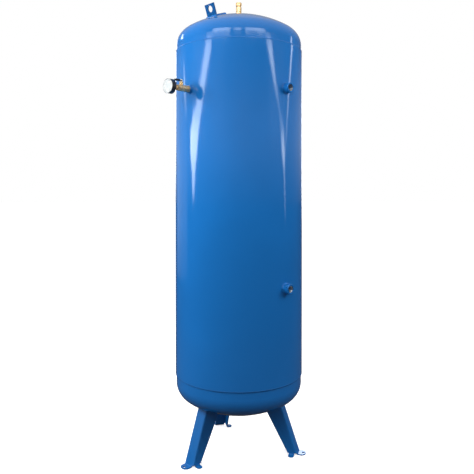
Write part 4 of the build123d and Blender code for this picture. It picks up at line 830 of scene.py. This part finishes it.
class RECEIVER_OT_port_threads(bpy.types.Operator):
    """Cut the look of a thread into the two open side ports."""
    bl_idname = "receiver.port_threads"
    bl_label = "Port threads"

    def execute(self, context):
        tree = thread_tree()
        for name, height in zip(("upper_port_thread", "lower_port_thread"), SIDE_HEIGHTS):
            seed = bpy.data.meshes.new(name + "_seed")
            piece = grow(name, tree, seed, {
                "Turns": THREAD_TURNS, "Pitch": THREAD_PITCH, "Radius": SIDE_BORE_RADIUS,
                "Depth": THREAD_DEPTH, "Material": FINISHES["zinc_steel"]})
            start = SIDE_SOCKET_END - THREAD_TURNS * THREAD_PITCH - THREAD_RUN_OUT
            piece.data.transform(radial_frame(SIDE_AZIMUTH, start, height))
            place_piece(piece, "tank", "zinc_steel")
        return {"FINISHED"}


def flat_text(body, height):
    """Figures as a mesh lying in the XY plane, centred on the origin."""
    curve = bpy.data.curves.new("figure", "FONT")
    curve.body = body
    curve.size = height
    curve.align_x = "CENTER"
    curve.align_y = "CENTER"
    curve.extrude = 0.04 * MM
    curve.resolution_u = 3
    thing = link("figure", curve)
    bpy.context.view_layer.update()
    mesh = bpy.data.meshes.new_from_object(thing.evaluated_get(bpy.context.evaluated_depsgraph_get()))
    bpy.data.objects.remove(thing)
    return mesh


def join_meshes(name, meshes):
    work = bmesh.new()
    for mesh in meshes:
        work.from_mesh(mesh)
    return mesh_of(work, name)


class RECEIVER_OT_dial_print(bpy.types.Operator):
    """Print the scale, its figures and its arc on the dial."""
    bl_idname = "receiver.dial_print"
    bl_label = "Dial print"

    def execute(self, context):
        dial = context.scene.receiver_dial
        tree = tick_tree()
        seed = bpy.data.meshes.new("dial_seed")
        face = radial_frame(GAUGE_AZIMUTH, DIAL_FACE, GAUGE_Z)
        common = {"Start": radians(DIAL_START), "Sweep": radians(DIAL_SWEEP), "Mark thickness": 0.08 * MM,
                  "Material": FINISHES["dial_ink"]}
        fine = {"Marks": dial.divisions + 1, "Radius": DIAL_RADIUS - 4.6 * MM, "Mark length": 2.0 * MM,
                "Mark width": 0.35 * MM}
        bold = {"Marks": 2 * (dial.numbers - 1) + 1, "Radius": DIAL_RADIUS - 5.1 * MM,
                "Mark length": 3.2 * MM, "Mark width": 0.75 * MM}
        for name, sizes in (("dial_fine_marks", fine), ("dial_bold_marks", bold)):
            piece = grow(name, tree, seed.copy(), {**common, **sizes})
            piece.data.transform(face)
            place_piece(piece, "tank", "pointer_black")
        figures = []
        for i in range(dial.numbers):
            share = i / (dial.numbers - 1)
            angle = radians(DIAL_START - DIAL_SWEEP * share)
            mesh = flat_text(str(round(DIAL_TOP * share)), dial.figure_height)
            distance = DIAL_RADIUS - FIGURE_INSET
            mesh.transform(Matrix.Translation((cos(angle) * distance, sin(angle) * distance, 0.0)))
            figures.append(mesh)
        mesh = join_meshes("dial_figures", figures)
        mesh.transform(face)
        mesh.materials.append(FINISHES["dial_ink"])
        tidy_mesh(mesh)
        place_piece(link("dial_figures", mesh), "tank", "pointer_black")
        place_piece(link("dial_arc", self.arc_mesh(face)), "tank", "pointer_black")
        return {"FINISHED"}

    def arc_mesh(self, face):
        """Thin printed ring along the scale."""
        work = bmesh.new()
        steps = 90
        inner, outer, high = DIAL_RADIUS - 3.7 * MM, DIAL_RADIUS - 3.35 * MM, 0.04 * MM
        rows = []
        for i in range(steps + 1):
            angle = radians(DIAL_START - DIAL_SWEEP * i / steps)
            corners = ((inner, -high), (outer, -high), (outer, high), (inner, high))
            rows.append([work.verts.new((cos(angle) * r, sin(angle) * r, z)) for r, z in corners])
        for first, second in zip(rows, rows[1:]):
            for k in range(4):
                work.faces.new((first[k], first[(k + 1) % 4], second[(k + 1) % 4], second[k]))
        work.faces.new(rows[0])
        work.faces.new(rows[-1][::-1])
        mesh = mesh_of(work, "dial_arc")
        mesh.transform(face)
        mesh.materials.append(FINISHES["dial_ink"])
        tidy_mesh(mesh)
        return mesh


def box_into(work, low, high):
    """Add a closed box between two corners to a bmesh."""
    size = [high[i] - low[i] for i in range(3)]
    middle = [(high[i] + low[i]) / 2 for i in range(3)]
    bmesh.ops.create_cube(work, size=1.0, matrix=Matrix.Translation(middle) @ Matrix.Diagonal((*size, 1.0)))


class RECEIVER_OT_plate_print(bpy.types.Operator):
    """Print a border and empty field lines on the data plate."""
    bl_idname = "receiver.plate_print"
    bl_label = "Plate print"

    def execute(self, context):
        work = bmesh.new()
        half_x, half_y = PLATE_SIZE[0] / 2 - 9.5 * MM, PLATE_SIZE[1] / 2 - 3.0 * MM
        line, high = 0.45 * MM, 0.05 * MM
        for y in (-half_y, half_y):
            box_into(work, (-half_x, y - line, -high), (half_x, y + line, high))
        for x in (-half_x, half_x):
            box_into(work, (x - line, -half_y + line, -high), (x + line, half_y - line, high))
        rows = 6
        pitch = 2 * half_y / (rows + 1)
        for i in range(1, rows + 1):
            y = -half_y + i * pitch
            box_into(work, (-half_x + 3 * MM, y - line / 3, -high), (half_x - 3 * MM, y + line / 3, high))
        box_into(work, (-line / 3, -half_y + pitch * 0.4, -high), (line / 3, half_y - pitch * 1.1, high))
        mesh = mesh_of(work, "plate_print")
        mesh.transform(radial_frame(PLATE_AZIMUTH, PLATE_FACE, PLATE_Z))
        mesh.materials.append(FINISHES["dial_ink"])
        mesh.update()
        place_piece(link("plate_print", mesh), "tank", "pointer_black")
        return {"FINISHED"}


class RECEIVER_OT_cap_knurl(bpy.types.Operator):
    """Set fine ribs round the safety valve's cap."""
    bl_idname = "receiver.cap_knurl"
    bl_label = "Cap knurl"

    def execute(self, context):
        piece = grow("valve_cap_ribs", knurl_tree(), bpy.data.meshes.new("cap_seed"), {
            "Ribs": CAP_RIBS, "Radius": CAP_RADIUS, "Rib width": 1.3 * MM, "Rib depth": 0.45 * MM,
            "Rib length": 9.0 * MM, "Material": FINISHES["upright_brass"]})
        piece.data.transform(Matrix.Translation((0.0, 0.0, (CAP_LOW + CAP_HIGH) / 2)))
        place_piece(piece, "valve_lifter", "brass")
        return {"FINISHED"}


class RECEIVER_OT_valve_spring(bpy.types.Operator):
    """Coil the safety valve's spring, its end turns closed."""
    bl_idname = "receiver.valve_spring"
    bl_label = "Valve spring"

    def execute(self, context):
        low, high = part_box("safety_valve_spring")
        half = SPRING_WIRE / 2
        radius = (high[0] - low[0]) / 2 - half
        foot, rise = low[2] + half, high[2] - low[2] - SPRING_WIRE
        steps = int(SPRING_TURNS * SPRING_STEPS)
        curve = bpy.data.curves.new("spring_line", "CURVE")
        curve.dimensions = "3D"
        curve.bevel_depth = half
        curve.bevel_resolution = 4
        curve.use_fill_caps = True
        line = curve.splines.new("POLY")
        line.points.add(steps)
        for step, point in enumerate(line.points):
            share = step / steps
            eased = share * share * (3.0 - 2.0 * share)
            angle = share * SPRING_TURNS * tau
            point.co = (radius * cos(angle), radius * sin(angle), foot + rise * eased, 1.0)
        wire = link("spring_wire", curve)
        mesh = bpy.data.meshes.new_from_object(wire.evaluated_get(context.evaluated_depsgraph_get()))
        bpy.data.objects.remove(wire)
        mesh.name = "valve_spring_coil"
        mesh.materials.clear()
        mesh.materials.append(FINISHES["spring_steel"])
        tidy_mesh(mesh)
        piece = link("valve_spring_coil", mesh)
        place_piece(piece, "tank", SPRING_SLOT, "safety_valve_spring")
        lift = next(j for j in frame["record"]["behaviour"]["joints"] if j["name"] == "valve_lift")
        keep = 1.0 - lift["range_m"][1] / (high[2] - low[2])
        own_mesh(piece)
        return {"FINISHED"}


def aim(position, target):
    return (Vector(target) - Vector(position)).to_track_quat("-Z", "Y").to_euler()


def panel_light(name, azimuth, height, distance, size, power):
    """Soft rectangular light facing the vessel; it lights but isn't mirrored."""
    lamp = bpy.data.lights.new(name, "AREA")
    lamp.shape = "RECTANGLE"
    lamp.size, lamp.size_y = size
    lamp.energy = power
    thing = link(name, lamp)
    thing.location = outward(azimuth) * distance + Vector((0.0, 0.0, height))
    thing.rotation_euler = aim(thing.location, (0.0, 0.0, height))
    thing.visible_camera = False
    thing.visible_glossy = False


def glow_material():
    f = Finish("studio_glow")
    glow = f.node("ShaderNodeAttribute", {"attribute_name": "glow"}, output="Fac")
    f.output(f.node("ShaderNodeEmission", inputs={"Color": (0.86, 0.93, 1.0, 1.0), "Strength": glow}))
    return f.material


def glow_strip(name, strip):
    """Window or lamp strip that the gloss mirrors; rows are (azimuth, z) edge pairs and a brightness."""
    radius, rows = strip
    points, glows, faces = [], [], []
    for (first_azimuth, first_z), (second_azimuth, second_z), glow in rows:
        points.append(outward(first_azimuth) * radius + Vector((0.0, 0.0, first_z)))
        points.append(outward(second_azimuth) * radius + Vector((0.0, 0.0, second_z)))
        glows += [glow, glow]
    for i in range(0, len(points) - 2, 2):
        faces.append((i, i + 1, i + 3, i + 2))
    mesh = bpy.data.meshes.new(name)
    mesh.from_pydata(points, [], faces)
    mesh.attributes.new("glow", "FLOAT", "POINT").data.foreach_set("value", glows)
    mesh.materials.append(bpy.data.materials.get("studio_glow") or glow_material())
    thing = link(name, mesh)
    thing.visible_camera = False
    thing.visible_diffuse = False
    thing.visible_shadow = False


FILL_DISTANCE = 2.6
FILL_SIZE = (1.5, 1.1)
FILL_LIGHTS = (
    ("fill_far_left", 150.0, 1.8, 13.0),
    ("fill_left", 185.0, 2.2, 62.0),
    ("fill_front_left", 220.0, 2.2, 36.0),
    ("fill_front", 255.0, 2.2, 11.0),
    ("fill_right", 325.0, 2.2, 48.0),
    ("fill_back", 60.0, 2.2, 20.0),
)


def upright(rows):
    """Rows of a standing strip from (z, left azimuth, right azimuth, brightness)."""
    return [((left, z), (right, z), glow) for z, left, right, glow in rows]


def level(low, high, stops):
    """Rows of a lying strip from (azimuth, brightness) stops."""
    return [((azimuth, low), (azimuth, high), glow) for azimuth, glow in stops]


GLOW_STRIPS = {
    "window_left": (5.0, upright([
        (3.25, 199.0, 210.0, 2.0), (3.08, 197.3, 208.8, 9.0), (2.72, 188.1, 199.3, 9.5),
        (2.41, 179.4, 191.3, 9.0), (2.20, 171.0, 187.5, 9.0), (2.02, 163.5, 183.0, 13.0),
        (1.72, 163.5, 179.4, 13.0), (1.50, 167.5, 175.5, 10.0), (1.22, 169.5, 174.5, 7.0),
        (1.08, 171.0, 173.0, 0.5)])),
    "window_far_left": (5.0, upright([
        (4.4, 118.0, 127.0, 4.0), (3.7, 125.0, 134.0, 7.0), (3.1, 132.0, 140.5, 6.5),
        (2.75, 139.0, 146.0, 5.0), (2.4, 146.0, 151.0, 2.5), (2.1, 150.0, 153.0, 0.2)])),
    "wall_left": (5.2, upright([
        (3.4, 112.0, 150.0, 0.1), (2.6, 112.0, 152.0, 0.55), (1.6, 112.0, 154.0, 0.65),
        (0.9, 112.0, 154.0, 0.5), (0.1, 112.0, 154.0, 0.2)])),
    "strip_right": (5.0, upright([
        (3.25, 302.0, 312.0, 2.0), (3.08, 305.6, 315.0, 7.5), (2.66, 317.5, 322.5, 6.0),
        (2.28, 329.0, 332.5, 1.5), (2.05, 333.0, 340.5, 2.5), (1.85, 334.5, 342.0, 7.0),
        (1.7, 335.5, 342.5, 7.0), (1.5, 339.5, 343.0, 3.5), (1.1, 341.8, 344.5, 2.0),
        (0.8, 343.0, 345.0, 0.2)])),
    "strip_edge": (5.0, upright([
        (3.7, 5.0, 8.0, 3.5), (3.13, 1.0, 5.2, 5.5), (2.55, 352.3, 355.5, 5.0), (2.16, 347.3, 349.5, 3.5),
        (1.75, 343.0, 345.0, 1.5), (1.4, 340.5, 342.0, 0.1)])),
    "skylight_one": (2.6, level(2.56, 3.4, [(210.0, 3.5), (216.0, 6.5), (238.0, 6.0), (242.0, 3.5)])),
    "skylight_two": (2.6, level(2.6, 3.35, [(247.0, 2.5), (252.0, 4.5), (258.0, 4.5), (262.0, 1.5)])),
    "skylight_three": (2.6, level(2.56, 3.4, [(267.0, 5.0), (292.0, 6.0), (303.0, 3.5)])),
    "window_back": (5.0, upright([
        (3.2, 60.0, 72.0, 1.0), (2.6, 60.0, 72.0, 7.0), (1.2, 60.0, 72.0, 7.0), (0.8, 60.0, 72.0, 0.5)])),
    "window_back_high": (5.0, upright([
        (3.6, 92.0, 100.0, 1.0), (3.0, 90.0, 99.0, 6.0), (1.6, 86.0, 94.0, 5.0), (1.1, 86.0, 93.0, 0.5)])),
}


class RECEIVER_OT_stage(bpy.types.Operator):
    """Set out the floor, the soft light and the camera."""
    bl_idname = "receiver.stage"
    bl_label = "Stage"

    def execute(self, context):
        self.floor()
        self.surroundings(context)
        self.lights()
        self.camera(context)
        return {"FINISHED"}

    def floor(self):
        work = bmesh.new()
        bmesh.ops.create_circle(work, cap_ends=True, segments=96, radius=FLOOR_RADIUS)
        mesh = mesh_of(work, "floor")
        mesh.materials.append(make_floor_finish("pale_floor"))
        floor = link("floor", mesh)
        floor.location = (0.0, 0.0, -FLOOR_DROP)

    def surroundings(self, context):
        world = bpy.data.worlds.new("studio")
        world.use_nodes = True
        context.scene.world = world
        w = Tree(world.node_tree)
        world.node_tree.nodes.clear()
        direction = w.node("ShaderNodeTexCoord", output="Generated")
        height = w.node("ShaderNodeSeparateXYZ", inputs={"Vector": direction}, output="Z")
        room = w.node("ShaderNodeValToRGB", {"stops": [
            (0.0, (0.14, 0.14, 0.14)), (0.497, (0.14, 0.14, 0.15)), (0.515, (0.26, 0.26, 0.27)),
            (0.54, (0.44, 0.44, 0.45)), (0.57, (0.42, 0.42, 0.43)), (0.62, (0.14, 0.14, 0.15)),
            (1.0, (0.06, 0.06, 0.07))]}, {"Fac": height * 0.5 + 0.5})
        inside = w.node("ShaderNodeBackground", inputs={"Color": room, "Strength": 1.0})
        seen = w.node("ShaderNodeBackground", inputs={"Color": (1.0, 1.0, 1.0, 1.0), "Strength": 1.0})
        ray = w.node("ShaderNodeLightPath", output="Is Camera Ray")
        mixed = w.node("ShaderNodeMixShader", inputs={0: ray, 1: inside, 2: seen})
        w.node("ShaderNodeOutputWorld", inputs={"Surface": mixed})
        context.scene.view_settings.view_transform = "Standard"

    def lights(self):
        for name, azimuth, height, power in FILL_LIGHTS:
            panel_light(name, azimuth, height, FILL_DISTANCE, FILL_SIZE, power)
        for name, rows in GLOW_STRIPS.items():
            glow_strip(name, rows)

    def camera(self, context):
        chosen = context.scene.receiver_stage
        view = bpy.data.cameras.new("view")
        view.sensor_width = SENSOR_WIDTH
        view.lens = chosen.lens
        view.shift_x, view.shift_y = CAMERA_SHIFT
        view.dof.use_dof = False
        thing = link("view", view)
        side = Vector((cos(chosen.camera_azimuth), sin(chosen.camera_azimuth), 0.0))
        thing.location = side * chosen.camera_distance + Vector((0.0, 0.0, chosen.camera_height))
        thing.rotation_euler = (pi / 2, 0.0, atan2(-side.y, -side.x) - pi / 2)
        context.scene.camera = thing


OPERATORS = (RECEIVER_OT_finishes, RECEIVER_OT_girth_welds, RECEIVER_OT_seam_weld, RECEIVER_OT_socket_welds,
             RECEIVER_OT_port_threads, RECEIVER_OT_dial_print, RECEIVER_OT_plate_print,
             RECEIVER_OT_cap_knurl, RECEIVER_OT_valve_spring, RECEIVER_OT_stage)


class RECEIVER_PT_panel(bpy.types.Panel):
    """Sizes and steps of the air receiver."""
    bl_idname = "RECEIVER_PT_panel"
    bl_label = "Air receiver"
    bl_space_type = "VIEW_3D"
    bl_region_type = "UI"
    bl_category = "Receiver"

    def draw(self, context):
        for group in ("receiver", "receiver_dial", "receiver_stage"):
            values = getattr(context.scene, group)
            for key in values.__annotations__:
                self.layout.prop(values, key)
        for step in OPERATORS:
            self.layout.operator(step.bl_idname)


CLASSES = (ReceiverSettings, DialSettings, StageSettings, *OPERATORS, RECEIVER_PT_panel)


def register():
    for kind in CLASSES:
        bpy.utils.register_class(kind)
    bpy.types.Scene.receiver = bpy.props.PointerProperty(type=ReceiverSettings)
    bpy.types.Scene.receiver_dial = bpy.props.PointerProperty(type=DialSettings)
    bpy.types.Scene.receiver_stage = bpy.props.PointerProperty(type=StageSettings)


def unregister():
    del bpy.types.Scene.receiver
    del bpy.types.Scene.receiver_dial
    del bpy.types.Scene.receiver_stage
    for kind in reversed(CLASSES):
        bpy.utils.unregister_class(kind)


def corners(box):
    return [[float(c) for c in corner] for corner in box]


def main():
    register()
    bpy.ops.receiver.finishes()
    bpy.ops.receiver.girth_welds()
    bpy.ops.receiver.seam_weld()
    bpy.ops.receiver.socket_welds()
    bpy.ops.receiver.port_threads()
    bpy.ops.receiver.dial_print()
    bpy.ops.receiver.plate_print()
    bpy.ops.receiver.cap_knurl()
    bpy.ops.receiver.valve_spring()
    bpy.ops.receiver.stage()


if __name__ == "__main__":
    main()
